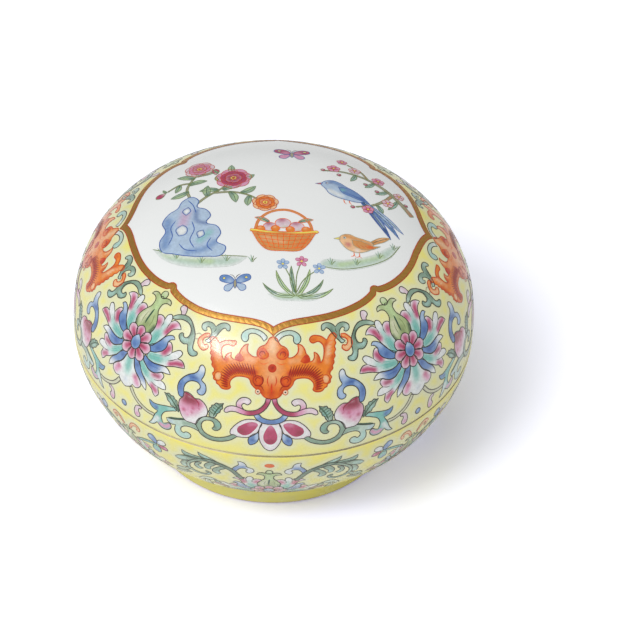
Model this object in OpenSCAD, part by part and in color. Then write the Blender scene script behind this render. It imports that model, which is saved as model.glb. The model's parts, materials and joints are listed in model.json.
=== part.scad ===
// Round porcelain box for seal paste. A bowl on a foot ring carries a domed lid, which
// sits on the bowl's rim and is kept in place by an upstanding lip. The paste lies in the bowl.
// The origin is the middle of the foot, on the table, and +Z is up.

/* [Box] */
// Outer diameter at the widest circle, where bowl and lid meet
box_d = 90; // [70:1:120]
// Height of the joint between bowl and lid above the table
seam_z = 30.6; // [26:0.2:40]
// Height of the lid, from the joint to the crown
lid_h = 32.6; // [24:0.2:44]

/* [Lid] */
// Fullness of the dome: 2 is an ellipse, more gives a flatter crown and rounder shoulders
dome_fullness = 2.6; // [2:0.1:3.4]
// Height of the straight band between the joint and the dome
band_h = 0.7; // [0.5:0.1:3]
// Thickness of the lid's wall at its edge
edge_wall = 2.4; // [1.8:0.1:3.2]
// Thickness of the lid at its crown
crown_wall = 3.4; // [2:0.1:6]

/* [Bowl] */
// Thickness of the bowl's wall where it reaches the foot
bowl_wall = 3.2; // [2:0.1:5]
// How far the bowl's side runs steeply down from the joint
cheek = 6.8; // [3:0.1:10]
// How far the bowl's underside runs nearly level out from the foot
sweep = 7.6; // [2:0.1:9]

/* [Lip] */
// Height of the bowl's lip above the joint
lip_h = 4.2; // [2:0.1:8]
// Thickness of the lip
lip_wall = 1.8; // [1.2:0.1:3]
// Gap all round between the lip and the lid
lip_gap = 0.35; // [0.2:0.05:0.8]

/* [Foot] */
// Outer diameter of the foot ring where it leaves the bowl
foot_d = 57.6; // [40:0.2:64]
// Height of the foot ring outside
foot_h = 7.8; // [5:0.1:9]
// Thickness of the foot ring on the table
foot_wall = 3; // [2:0.1:5]
// How much the foot ring's radius shrinks down to the table
foot_taper = 0.9; // [0:0.1:2]
// Depth of the hollow under the bowl, inside the foot ring
foot_hollow = 4.5; // [2:0.1:4.8]

/* [Edges] */
// Radius of the soft edges along the joint
joint_round = 0.35; // [0.1:0.05:0.5]
// Radius of the worn edges of the lip and the foot ring
edge_round = 0.5; // [0.2:0.05:0.8]

/* [Seal paste] */
// How far the paste's edge lies below the joint
paste_below = 10; // [4:0.5:14]
// How far the paste is heaped up in the middle
paste_rise = 3.2; // [0:0.1:6]
// Gap between the paste and the bowl's curved wall
paste_gap = 0.3; // [0.1:0.05:1]

/* [Hidden] */

// Steps that a curve is drawn in, and sides that the tools may show on a round form
curve_steps = 32;
arc_steps = 4;
round_sides = 160;

box_r = box_d / 2;
foot_r = foot_d / 2;

// The lid's dome stands on the straight band
dome_z = seam_z + band_h;
dome_rise = lid_h - band_h;
lid_in_r = box_r - edge_wall;

// The bowl's rim carries the lid's edge outside and the lip inside
lip_r = lid_in_r - lip_gap;
lip_in_r = lip_r - lip_wall;
rim_wall = box_r - lip_in_r;
lip_top = seam_z + lip_h;

// A small hollow curve joins the foot ring to the bowl
cove = edge_round;
foot_low_r = foot_r - foot_taper;
foot_in_r = foot_low_r - foot_wall;
floor_z = foot_h + bowl_wall;
floor_r = foot_r + cove;

// Side of the bowl, from the joint to the foot, as a cubic curve through four poles
side = [
    [box_r, seam_z],
    [box_r, seam_z - cheek],
    [floor_r + sweep, foot_h],
    [floor_r, foot_h]
];

// Surface of the paste: a shallow cap that reaches past the bowl's wall
paste_edge_z = seam_z - paste_below;
cap_r = (lip_in_r * lip_in_r + paste_rise * paste_rise) / (2 * max(paste_rise, 0.01));

// Points of an arc about a centre, from one angle to another
function arc(centre, r, from, to) = [
    for (i = [0 : arc_steps])
        let (a = from + (to - from) * i / arc_steps)
        centre + r * [cos(a), sin(a)]
];

// Points of a quarter of a superellipse on the height z, from its widest point to its top
function dome(wide, high, z) = [
    for (i = [0 : curve_steps])
        let (a = 90 * i / curve_steps)
        let (across = pow(cos(a) / wide, dome_fullness))
        let (up = pow(sin(a) / high, dome_fullness))
        let (reach = pow(across + up, -1 / dome_fullness))
        i == curve_steps ? [0, z + high] : [reach * cos(a), z + reach * sin(a)]
];

// Point of the bowl's side at u, from 0 at the joint to 1 at the foot
function side_point(u) =
    pow(1 - u, 3) * side[0]
    + 3 * pow(1 - u, 2) * u * side[1]
    + 3 * (1 - u) * u * u * side[2]
    + pow(u, 3) * side[3];

// Direction square to the bowl's side at u, towards the inside
function side_inward(u) =
    let (d = pow(1 - u, 2) * (side[1] - side[0])
        + 2 * (1 - u) * u * (side[2] - side[1])
        + u * u * (side[3] - side[2]))
    [d[1], -d[0]] / norm(d);

// Inside of the bowl at u, with an extra gap: the wall thins from the rim down to the foot
function inside_point(u, gap) =
    side_point(u) + side_inward(u) * (rim_wall + (bowl_wall - rim_wall) * u + gap);

function backwards(points) = [for (i = [len(points) - 1 : -1 : 0]) points[i]];

outer_side = [for (i = [0 : curve_steps]) side_point(i / curve_steps)];

// The hollow of the bowl, from the middle of the floor up past the lip
module hollow(gap) {
    wall_points = [for (i = [1 : curve_steps]) inside_point(i / curve_steps, gap)];
    shoulder = [[lip_in_r - gap, seam_z], [lip_in_r - gap, lip_top + 1]];
    rotate_extrude($fn = round_sides)
        polygon(concat(
            [[0, lip_top + 1], [0, floor_z], [floor_r, floor_z]],
            backwards(wall_points),
            shoulder
        ));
}

// Bowl without its hollow: foot ring, side, rim and lip
module bowl_outside() {
    foot = concat(
        [[0, foot_hollow], [foot_in_r - edge_round, foot_hollow]],
        arc([foot_in_r + edge_round, edge_round], edge_round, 180, 270),
        arc([foot_low_r - edge_round, edge_round], edge_round, -90, 0),
        arc([foot_r + cove, foot_h - cove], cove, 180, 90)
    );
    side_up = backwards([for (i = [1 : curve_steps - 1]) outer_side[i]]);
    rim = concat(
        arc([box_r - joint_round, seam_z - joint_round], joint_round, 0, 90),
        [[lip_r, seam_z]],
        arc([lip_r - edge_round, lip_top - edge_round], edge_round, 0, 90),
        arc([lip_in_r + edge_round, lip_top - edge_round], edge_round, 90, 180),
        [[lip_in_r, seam_z], [0, seam_z]]
    );
    rotate_extrude($fn = round_sides)
        polygon(concat(foot, side_up, rim));
}

// Bowl with its foot ring, rim and lip
module base() {
    color([0.91, 0.88, 0.52])
        difference() {
            bowl_outside();
            hollow(0);
        }
}

// Domed lid with an open edge that drops over the lip
module lid() {
    edge = concat(
        [[lid_in_r, seam_z]],
        arc([box_r - joint_round, seam_z + joint_round], joint_round, -90, 0)
    );
    outside = dome(box_r, dome_rise, dome_z);
    inside = dome(lid_in_r, dome_rise - crown_wall, dome_z);
    color([0.93, 0.92, 0.80])
        rotate_extrude($fn = round_sides)
            polygon(concat(edge, outside, backwards(inside)));
}

// Paste pressed into the bowl, heaped a little in the middle
module seal_paste() {
    color([0.78, 0.10, 0.07])
        intersection() {
            hollow(paste_gap);
            union() {
                cylinder(r = box_r, h = paste_edge_z, $fn = round_sides);
                translate([0, 0, paste_edge_z + paste_rise - cap_r])
                    sphere(r = cap_r, $fn = round_sides);
            }
        }
}

base();
lid();
seal_paste();
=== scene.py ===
"""Finish of a round porcelain seal paste box: white glaze, yellow ground, gilt panel edge,
iron-red bats, lotus flowers, peaches and leaf scrolls, and the red paste in the bowl."""
import json
import math

import bpy
import numpy as np
from mathutils import Matrix, Vector
from mathutils.geometry import delaunay_2d_cdt
from mathutils.kdtree import KDTree

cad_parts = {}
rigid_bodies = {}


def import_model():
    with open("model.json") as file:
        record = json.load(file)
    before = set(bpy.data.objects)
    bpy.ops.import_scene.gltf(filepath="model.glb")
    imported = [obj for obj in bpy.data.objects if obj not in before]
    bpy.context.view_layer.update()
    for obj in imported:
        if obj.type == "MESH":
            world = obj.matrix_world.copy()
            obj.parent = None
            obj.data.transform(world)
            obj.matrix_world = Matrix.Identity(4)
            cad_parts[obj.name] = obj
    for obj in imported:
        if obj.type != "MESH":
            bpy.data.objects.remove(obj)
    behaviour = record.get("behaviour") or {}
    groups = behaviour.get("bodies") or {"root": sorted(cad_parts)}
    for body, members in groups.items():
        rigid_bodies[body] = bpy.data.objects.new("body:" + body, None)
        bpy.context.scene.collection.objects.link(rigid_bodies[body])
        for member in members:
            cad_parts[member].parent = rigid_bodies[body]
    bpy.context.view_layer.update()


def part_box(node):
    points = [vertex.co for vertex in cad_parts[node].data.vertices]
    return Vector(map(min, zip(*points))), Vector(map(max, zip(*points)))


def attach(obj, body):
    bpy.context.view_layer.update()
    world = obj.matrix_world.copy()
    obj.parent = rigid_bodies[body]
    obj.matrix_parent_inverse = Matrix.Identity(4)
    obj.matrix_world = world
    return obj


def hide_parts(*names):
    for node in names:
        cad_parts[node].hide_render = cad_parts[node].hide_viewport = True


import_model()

bl_info = {
    "name": "Seal paste box finish",
    "version": (1, 0, 0),
    "blender": (4, 5, 0),
    "location": "3D View > Sidebar > Seal Box",
    "description": "Paints and glazes a round porcelain seal paste box",
    "category": "Object",
}

MM = 0.001
GLAZE_IOR = 1.52

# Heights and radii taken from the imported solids, in millimetres
BASE_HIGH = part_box("base")[1] / MM
LID_LOW, LID_HIGH = (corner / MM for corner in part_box("lid"))
PASTE_LOW, PASTE_HIGH = (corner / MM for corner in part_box("seal_paste"))
SEAM_Z = LID_LOW.z
CROWN_Z = LID_HIGH.z
LIP_TOP = BASE_HIGH.z
BOX_R = LID_HIGH.x


def srgb(red, green, blue):
    """Linear colour of a colour as it is seen on a screen, each part from 0 to 255."""
    parts = [part / 255 for part in (red, green, blue)]
    return tuple(p / 12.92 if p <= 0.04045 else ((p + 0.055) / 1.055) ** 2.4 for p in parts)


def length(name, description, millimetres):
    return bpy.props.FloatProperty(
        name=name, description=description, default=millimetres * MM, unit="LENGTH", precision=4)


def colour(name, description, red, green, blue):
    return bpy.props.FloatVectorProperty(
        name=name, description=description, default=srgb(red, green, blue),
        subtype="COLOR", size=3, min=0, max=1)


class BoxSizes(bpy.types.PropertyGroup):
    """Shape of the porcelain, as the solids have it."""
    fullness: bpy.props.FloatProperty(
        name="Dome fullness", description="2 is an ellipse, more is flatter on top", default=2.6)
    band: length("Band", "Straight edge of the lid above the joint", 0.7)
    edge_wall: length("Edge wall", "Thickness of the lid at its edge", 2.4)
    crown_wall: length("Crown wall", "Thickness of the lid at its crown", 3.4)
    bowl_wall: length("Bowl wall", "Thickness of the bowl at the foot", 3.2)
    cheek: length("Cheek", "Steep part of the bowl's side", 6.8)
    sweep: length("Sweep", "Level part of the bowl's underside", 7.6)
    lip_wall: length("Lip wall", "Thickness of the lip", 1.8)
    lip_gap: length("Lip gap", "Gap between lip and lid", 0.35)
    foot_r: length("Foot radius", "Outer radius of the foot ring at the bowl", 28.8)
    foot_h: length("Foot height", "Height of the foot ring", 7.8)
    foot_wall: length("Foot wall", "Thickness of the foot ring on the table", 3.0)
    foot_taper: length("Foot taper", "How much the foot narrows to the table", 0.9)
    foot_hollow: length("Foot hollow", "Depth under the bowl inside the foot", 4.5)
    joint_round: length("Joint rounding", "Soft edges along the joint", 0.35)
    edge_round: length("Edge rounding", "Soft edges of lip and foot", 0.5)
    glaze_inset: length("Glaze inset", "How far the glaze lies inside the solid's skin", 0.14)
    paste_below: length("Paste depth", "Depth of the paste's edge below the joint", 10.0)
    paste_gap: length("Paste gap", "Gap between paste and bowl", 0.3)


class BoxColours(bpy.types.PropertyGroup):
    """Glazes and enamels."""
    white: colour("White", "White glaze", 238, 239, 238)
    yellow: colour("Yellow", "Yellow ground", 231, 226, 142)
    deep_yellow: colour("Deep yellow", "Yellow where the ground is laid on thickly", 243, 229, 100)
    pale_yellow: colour("Pale yellow", "Thin ground beside the painted lines", 224, 225, 186)
    line: colour("Line", "Brown-black drawn line", 49, 43, 36)
    gold: colour("Gold", "Gilding", 206, 154, 74)
    iron: colour("Iron red", "Iron-red wash", 236, 130, 30)
    pale_iron: colour("Pale iron red", "Thin iron-red wash", 242, 194, 146)
    mid_iron: colour("Middle iron red", "Iron red laid on twice", 224, 94, 12)
    dark_iron: colour("Dark iron red", "Iron red laid on thickly", 200, 54, 4)
    deep_iron: colour("Deep iron red", "Iron-red strokes", 146, 26, 4)
    bat_edge: colour("Bat's edge", "Iron-red drawn line", 184, 62, 14)
    enamel_white: colour("White enamel", "Opaque white", 230, 234, 233)
    magenta: colour("Magenta", "Rose enamel", 180, 58, 100)
    deep_magenta: colour("Deep magenta", "Rose enamel laid on thickly", 142, 26, 58)
    pink: colour("Pink", "Rose and white", 220, 152, 186)
    pale_pink: colour("Pale pink", "White with a little rose", 222, 201, 210)
    turquoise: colour("Turquoise", "Turquoise enamel", 120, 188, 178)
    deep_turquoise: colour("Deep turquoise", "Turquoise laid on thickly", 92, 168, 156)
    pale_turquoise: colour("Pale turquoise", "Turquoise and white", 172, 212, 204)
    blue: colour("Blue", "Blue enamel", 104, 140, 192)
    deep_blue: colour("Deep blue", "Blue laid on thickly", 60, 92, 158)
    pale_blue: colour("Pale blue", "Blue and white", 176, 198, 222)
    leaf: colour("Leaf green", "Green enamel", 136, 164, 144)
    dark_leaf: colour("Dark green", "Green laid on thickly", 52, 82, 62)
    pale_leaf: colour("Pale green", "Green and white", 188, 210, 196)
    fresh_leaf: colour("Fresh green", "Yellow-green enamel", 186, 212, 154)
    calyx: colour("Calyx", "Grey-green of the calyx", 172, 190, 134)
    pale_calyx: colour("Pale calyx", "Light side of the calyx", 214, 216, 186)
    olive: colour("Olive", "Shadow strokes on the calyx", 112, 130, 76)
    brown: colour("Brown", "Stems", 162, 156, 128)
    wicker: colour("Wicker", "Orange-brown", 214, 146, 78)
    paste: colour("Paste", "Cinnabar paste", 158, 14, 8)
    biscuit: colour("Biscuit", "Bare fired clay", 226, 214, 196)


def hue(name):
    return tuple(getattr(bpy.context.scene.seal_box_colours, name))


def in_mm(name):
    return getattr(bpy.context.scene.seal_box_sizes, name) / MM


class Wire:
    """A shader socket that adds, takes away and multiplies."""

    def __init__(self, recipe, socket):
        self.recipe = recipe
        self.socket = socket

    def __add__(self, other):
        return self.recipe.maths("ADD", self, other)

    def __sub__(self, other):
        return self.recipe.maths("SUBTRACT", self, other)

    def __rsub__(self, other):
        return self.recipe.maths("SUBTRACT", other, self)

    def __mul__(self, other):
        return self.recipe.maths("MULTIPLY", self, other)

    __radd__ = __add__
    __rmul__ = __mul__

    def rise(self, low, high):
        """0 below low, 1 above high and smooth between them."""
        return self.recipe.node(
            "ShaderNodeMapRange", {"interpolation_type": "SMOOTHSTEP"},
            {"Value": self, "From Min": low, "From Max": high})


class Recipe:
    """The nodes of one material or of the world."""

    def __init__(self, name, kind="materials"):
        self.owner = getattr(bpy.data, kind).new(name)
        self.owner.use_nodes = True
        self.tree = self.owner.node_tree
        self.surface = self.tree.nodes.get("Principled BSDF") or self.tree.nodes["Background"]

    def node(self, kind, choices=None, inputs=None, output=0):
        """Adds a node: its choices are set first, then its sockets, by values or by wires."""
        node = self.tree.nodes.new(kind)
        for key, value in (choices or {}).items():
            setattr(node, key, value)
        for key, value in (inputs or {}).items():
            self.feed(node.inputs[key], value)
        return Wire(self, node.outputs[output])

    def feed(self, socket, value):
        if isinstance(value, Wire):
            self.tree.links.new(value.socket, socket)
        elif socket.type == "RGBA" and len(value) == 3:
            socket.default_value = (*value, 1)
        else:
            socket.default_value = value

    def place(self):
        return self.node("ShaderNodeTexCoord", output=3)

    def maths(self, operation, *values):
        return self.node("ShaderNodeMath", {"operation": operation}, dict(enumerate(values)))

    def upright(self):
        """Place to the right of the box's axis, height, and distance from the axis."""
        x, y, z = [self.node("ShaderNodeSeparateXYZ", None, {0: self.place()}, i) for i in range(3)]
        return x, z, self.maths("SQRT", x * x + y * y)

    def noise(self, scale, detail=3.0, rough=0.55, at=None):
        """Soft random values from 0 to 1: scale is in lumps per metre."""
        return self.node("ShaderNodeTexNoise", None, {
            "Vector": at or self.place(), "Scale": scale, "Detail": detail, "Roughness": rough})

    def mix(self, factor, first, second):
        return self.node("ShaderNodeMix", {"data_type": "RGBA"}, {0: factor, 6: first, 7: second}, 2)

    def stained(self, first, amount):
        """A colour multiplied by a grey amount."""
        return self.node("ShaderNodeMix", {"data_type": "RGBA", "blend_type": "MULTIPLY"},
                         {0: 1.0, 6: first, 7: amount}, 2)

    def attribute(self, name, output=0):
        return self.node("ShaderNodeAttribute", {"attribute_name": name}, None, output)

    def bump(self, height, distance, strength=1.0):
        return self.node("ShaderNodeBump", None, {
            "Height": height, "Distance": distance, "Strength": strength})

    def cover(self, **sockets):
        """Feeds the surface shader and returns the finished material."""
        names = {"base": "Base Color", "rough": "Roughness", "metal": "Metallic", "ior": "IOR",
                 "coat": "Coat Weight", "coat_rough": "Coat Roughness", "normal": "Normal"}
        for key, value in sockets.items():
            self.feed(self.surface.inputs[names[key]], value)
        return self.owner


def glaze_ripple(recipe):
    """Faint waves that a fired glaze shows in its reflections."""
    waves = recipe.noise(140, 2.0) * 0.7 + recipe.noise(620, 2.0) * 0.3
    return recipe.bump(waves, 0.00012)


def white_glaze():
    """White glaze, bare clay on the edges that touch each other or the table."""
    recipe = Recipe("white_glaze")
    _, z, radius = recipe.upright()
    seam, lip_top = SEAM_Z * MM, LIP_TOP * MM
    lip_out = (BOX_R - in_mm("edge_wall")) * MM
    # The rim, the lip's outer side and its crest are bare, all under the lid: places in metres
    under_lid = 1 - radius.rise(lip_out - 0.0001, lip_out + 0.0003)
    at_joint = recipe.maths("ABSOLUTE", z - seam)
    joint = (1 - at_joint.rise(0.0002, 0.0005)) * radius.rise(lip_out - 0.0026, lip_out - 0.0020)
    lip_side = z.rise(seam, seam + 0.0004) * (1 - z.rise(lip_top - 0.0004, lip_top))
    lip_side = lip_side * under_lid * radius.rise(lip_out - 0.0017, lip_out - 0.0012)
    lip_crest = z.rise(lip_top - 0.0005, lip_top - 0.0002) * (1 - z.rise(lip_top + 0.0001, lip_top + 0.0004))
    lip_crest = lip_crest * under_lid * radius.rise(lip_out - 0.0026, lip_out - 0.0022)
    foot_face = 1 - z.rise(0.0004, 0.0007)
    bare = recipe.maths("MINIMUM", joint + lip_side + lip_crest + foot_face, 1)
    edge = BOX_R * MM
    # Dark brown along the joint's slit: partly dirt, partly painted shade that darkens the groove between
    # lid and bowl
    seam_dirt_and_shade = (1 - at_joint.rise(0.00015, 0.0003)) * radius.rise(edge - 0.0011, edge - 0.0006)
    seam_dirt_and_shade = seam_dirt_and_shade * (0.3 + recipe.noise(24, 1.0).rise(0.42, 0.6) * 0.7)
    speck = recipe.noise(900, 4.0)
    cloud = recipe.noise(45, 2.0)
    clay = recipe.mix(speck, hue("biscuit"), srgb(206, 190, 168))
    clay = recipe.mix(seam_dirt_and_shade * (0.6 + speck * 0.4), clay, srgb(92, 80, 62))
    glaze = recipe.mix(cloud, hue("white"), srgb(232, 235, 234))
    grain = recipe.bump(speck * bare + recipe.noise(160, 2.0) * 0.4, 0.00012)
    return recipe.cover(
        base=recipe.mix(bare, glaze, clay), rough=0.16 + cloud * 0.05 + bare * 0.5, normal=grain,
        ior=GLAZE_IOR)


def yellow_glaze():
    """Yellow ground, thicker and thinner where the brush went."""
    recipe = Recipe("yellow_ground")
    laid = recipe.attribute("paint")
    brush = recipe.noise(260, 4.0, 0.6)
    patch = recipe.noise(95, 3.0)
    thick = patch.rise(0.42, 0.72)
    base = recipe.mix(thick * 0.45, laid, hue("deep_yellow"))
    base = recipe.mix(brush.rise(0.35, 0.8) * 0.35, base, hue("pale_yellow"))
    return recipe.cover(
        base=base, rough=0.2 + brush * 0.12, normal=glaze_ripple(recipe), ior=GLAZE_IOR,
        coat=0.25, coat_rough=0.08)


def enamel():
    """Coloured enamel whose colours are painted on the mesh, with streaks of the brush."""
    recipe = Recipe("enamel")
    laid = recipe.attribute("paint")
    streak = recipe.noise(1500, 3.0, 0.6)
    pool = recipe.noise(420, 3.0)
    base = recipe.stained(laid, recipe.mix(streak.rise(0.3, 0.8), (0.88, 0.87, 0.86), (1.06, 1.06, 1.06)))
    base = recipe.mix(pool.rise(0.5, 0.9) * 0.06, base, hue("white"))
    ripple = recipe.bump(pool * 0.6 + streak * 0.4, 0.00006)
    return recipe.cover(
        base=base, rough=0.2 + pool * 0.1, normal=ripple, ior=GLAZE_IOR, coat=0.7, coat_rough=0.08)


def drawn_line():
    """Thin brown-black and iron-red lines, drawn with a fine brush."""
    recipe = Recipe("drawn_line")
    streak = recipe.noise(1300, 3.0)
    thin = recipe.mix(streak.rise(0.35, 0.8), (1, 1, 1), (1.5, 1.5, 1.5))
    base = recipe.stained(recipe.attribute("paint"), thin)
    return recipe.cover(base=base, rough=0.24 + streak * 0.12, ior=GLAZE_IOR,
                        normal=recipe.bump(streak, 0.00004), coat=0.2, coat_rough=0.1)


def red_line():
    """Iron-red line along the gilding."""
    recipe = Recipe("red_line")
    worn = recipe.noise(650, 4.0, 0.6)
    base = recipe.mix(worn.rise(0.3, 0.75), srgb(196, 74, 30), srgb(142, 52, 20))
    return recipe.cover(base=base, rough=0.26 + worn * 0.15, ior=1.5,
                        normal=recipe.bump(worn, 0.00004))


def gilding():
    """Burnished gold laid in short strokes over iron red."""
    recipe = Recipe("gilding")
    run = recipe.attribute("run", 2)
    across = recipe.attribute("across", 2)
    stroke = run * 4.2 + across * 2.2 + recipe.noise(520, 3.0) * 14.0
    stroke = recipe.maths("SINE", stroke) * 0.5 + 0.5
    wear = recipe.noise(700, 4.0, 0.6)
    rim = recipe.maths("ABSOLUTE", across).rise(0.7, 1.0)
    base = recipe.mix(stroke.rise(0.2, 1.0) * 0.12, hue("gold"), srgb(150, 98, 34))
    base = recipe.mix(wear.rise(0.62, 0.8) * 0.25, base, srgb(168, 96, 44))
    base = recipe.mix(rim * 0.6, base, srgb(150, 78, 26))
    metal = 0.85 - rim * 0.45 - wear.rise(0.6, 0.8) * 0.25
    return recipe.cover(
        base=base, metal=metal, rough=0.3 + stroke * 0.12 + wear * 0.1,
        normal=recipe.bump(stroke * 0.5 + wear * 0.5, 0.00004), coat=0.15, coat_rough=0.1)


def cinnabar():
    """Stiff oily paste: fibres and small lumps, with painted shade that darkens the hollows."""
    recipe = Recipe("cinnabar_paste")
    lump = recipe.noise(340, 5.0, 0.62)
    fibre = recipe.node("ShaderNodeTexWave", {"bands_direction": "DIAGONAL"}, {
        "Vector": recipe.place(), "Scale": 210.0, "Distortion": 22.0,
        "Detail": 3.0, "Detail Scale": 2.2}, 1)
    # Painted shade: dark red where the lumps sink, in the hollows of the bump
    base = recipe.mix(lump.rise(0.35, 0.65), srgb(96, 4, 4), hue("paste"))
    base = recipe.mix(fibre.rise(0.6, 1.0) * 0.4, base, srgb(190, 34, 18))
    relief = recipe.bump(lump * 0.6 + fibre * 0.4, 0.004)
    return recipe.cover(base=base, rough=0.5 + lump * 0.2, normal=relief)


COVERS = {"white_glaze": white_glaze, "yellow_ground": yellow_glaze, "enamel": enamel,
          "drawn_line": drawn_line, "red_line": red_line, "gilding": gilding,
          "cinnabar_paste": cinnabar}


def arc(centre, radius, start, end, steps=6):
    """Points of an arc about a centre, in degrees."""
    turns = np.radians(np.linspace(start, end, steps + 1))
    return [(centre[0] + radius * math.cos(t), centre[1] + radius * math.sin(t)) for t in turns]


def dome(wide, high, z, steps=96):
    """Quarter of a superellipse, from its widest point up to its top."""
    power = bpy.context.scene.seal_box_sizes.fullness
    turns = np.linspace(0, math.pi / 2, steps + 1)
    reach = ((np.cos(turns) / wide) ** power + (np.sin(turns) / high) ** power) ** (-1 / power)
    points = np.column_stack([reach * np.cos(turns), z + reach * np.sin(turns)])
    points[-1] = (0, z + high)
    return points


def bowl_side(steps=96):
    """Outside of the bowl from the joint to the foot, and the way square to it, inwards."""
    start = np.array([BOX_R, SEAM_Z])
    foot = np.array([in_mm("foot_r") + in_mm("edge_round"), in_mm("foot_h")])
    poles = [start, start - (0, in_mm("cheek")), foot + (in_mm("sweep"), 0), foot]
    u = np.linspace(0, 1, steps + 1)[:, None]
    points = ((1 - u) ** 3 * poles[0] + 3 * (1 - u) ** 2 * u * poles[1]
              + 3 * (1 - u) * u ** 2 * poles[2] + u ** 3 * poles[3])
    slope = ((1 - u) ** 2 * (poles[1] - poles[0]) + 2 * (1 - u) * u * (poles[2] - poles[1])
             + u ** 2 * (poles[3] - poles[2]))
    inward = np.column_stack([slope[:, 1], -slope[:, 0]])
    inward /= np.linalg.norm(inward, axis=1)[:, None]
    return points, inward, u


def bowl_inside(extra=0.0):
    """Inside of the bowl, or a surface further in: the wall thins from the rim down to the foot."""
    side, inward, u = bowl_side()
    rim_wall = in_mm("edge_wall") + in_mm("lip_gap") + in_mm("lip_wall")
    return side + inward * (rim_wall + (in_mm("bowl_wall") - rim_wall) * u + extra)


class Skin:
    """Outside of a round form, measured along its outline from a start height h0 in millimetres."""

    def __init__(self, outline, h0, upwards):
        self.outline = np.array(outline, float)
        steps = np.hypot(*np.diff(self.outline, axis=0).T)
        run = np.concatenate([[0], np.cumsum(steps)])
        slope = np.gradient(self.outline, run, axis=0)
        facing = np.column_stack([slope[:, 1], -slope[:, 0]]) * (1 if upwards else -1)
        facing /= np.linalg.norm(facing, axis=1)[:, None]
        h = h0 + run if upwards else h0 - run
        order = np.argsort(h)
        self.h = h[order]
        self.outline = self.outline[order]
        self.facing = facing[order]
        self.top = self.h[-1]

    def radius(self, h):
        return np.interp(h, self.h, self.outline[:, 0])

    def wrap(self, flat, lift, turn):
        """Points of a flat drawing: millimetres to the right of a turn and up along the wall."""
        return self.place(turn + flat[:, 0] / self.radius(flat[:, 1]), flat[:, 1], lift)

    def place(self, turn, h, lift):
        """Points at a turn from the front (radians, to the right) and a height along the wall."""
        r = self.radius(h)
        z = np.interp(h, self.h, self.outline[:, 1])
        out = np.interp(h, self.h, self.facing[:, 0])
        up = np.interp(h, self.h, self.facing[:, 1])
        r = r + out * lift
        return np.column_stack([r * np.sin(turn), -r * np.cos(turn), z + up * lift])


def build(name, points, faces, body, material, colours=None, numbers=None):
    """Makes a piece from points in millimetres and lets it ride on its body."""
    mesh = bpy.data.meshes.new(name)
    mesh.from_pydata((np.asarray(points) * MM).tolist(), [], faces)
    mesh.validate()
    if colours is not None:
        paint = mesh.attributes.new("paint", "FLOAT_COLOR", "POINT")
        paint.data.foreach_set("color", np.column_stack(
            [colours, np.ones(len(colours))]).astype(np.float32).ravel())
    for key, values in (numbers or {}).items():
        mesh.attributes.new(key, "FLOAT", "POINT").data.foreach_set("value", values)
    mesh.polygons.foreach_set("use_smooth", [True] * len(mesh.polygons))
    mesh.materials.append(bpy.data.materials.get(material) or COVERS[material]())
    mesh.update()
    piece = bpy.data.objects.new(name, mesh)
    bpy.context.scene.collection.objects.link(piece)
    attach(piece, body)
    return piece


def even_turns(count):
    """Even steps of a full turn, in radians."""
    return 2 * math.pi * np.arange(count) / count


def around(rows, sides, first=0):
    """Faces between rings of points that follow each other."""
    return [(first + r * sides + i, first + r * sides + (i + 1) % sides,
             first + (r + 1) * sides + (i + 1) % sides, first + (r + 1) * sides + i)
            for r in range(rows - 1) for i in range(sides)]


def lathe(outline, sides, closed):
    """Points and faces of an outline turned about the axis. Points on the axis are shared."""
    points, rings, faces = [], [], []
    turns = even_turns(sides)
    for r, z in outline:
        if r < 1e-6:
            rings.append([len(points)] * sides)
            points.append((0, 0, z))
            continue
        rings.append(list(range(len(points), len(points) + sides)))
        points.extend(zip(r * np.sin(turns), -r * np.cos(turns), [z] * sides))
    for low, high in zip(rings, rings[1:] + rings[:1] * closed):
        for i in range(sides):
            j = (i + 1) % sides
            corner = list(dict.fromkeys([low[i], low[j], high[j], high[i]]))
            if len(corner) > 2:
                faces.append(corner)
    return points, faces


def ease(values):
    """0 below 0, 1 above 1 and smooth between them."""
    values = np.clip(values, 0, 1)
    return values * values * (3 - 2 * values)


def gap(points, others):
    """Distance from each point to the nearest of the others."""
    return np.sqrt(((points[:, None] - others[None]) ** 2).sum(axis=2)).min(axis=1)


def fade(name, start, end, amount=1.0):
    """Colour that comes in on the way from one place to another."""
    start, way = np.array(start, float), np.subtract(end, start)
    return lambda points, depth: (name, amount * ease((points - start) @ way / (way @ way)))


def near(name, places, radius, amount=1.0):
    """Colour round a place or along a drawn line."""
    places = np.reshape(places, (-1, 2)) if np.size(places) == 2 else smooth(places)[0]
    return lambda points, depth: (name, amount * ease(1 - gap(points, places) / radius))


def rim(name, width, amount=1.0):
    """Colour along the edge of a shape."""
    return lambda points, depth: (name, amount * ease(1 - depth / width))


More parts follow.
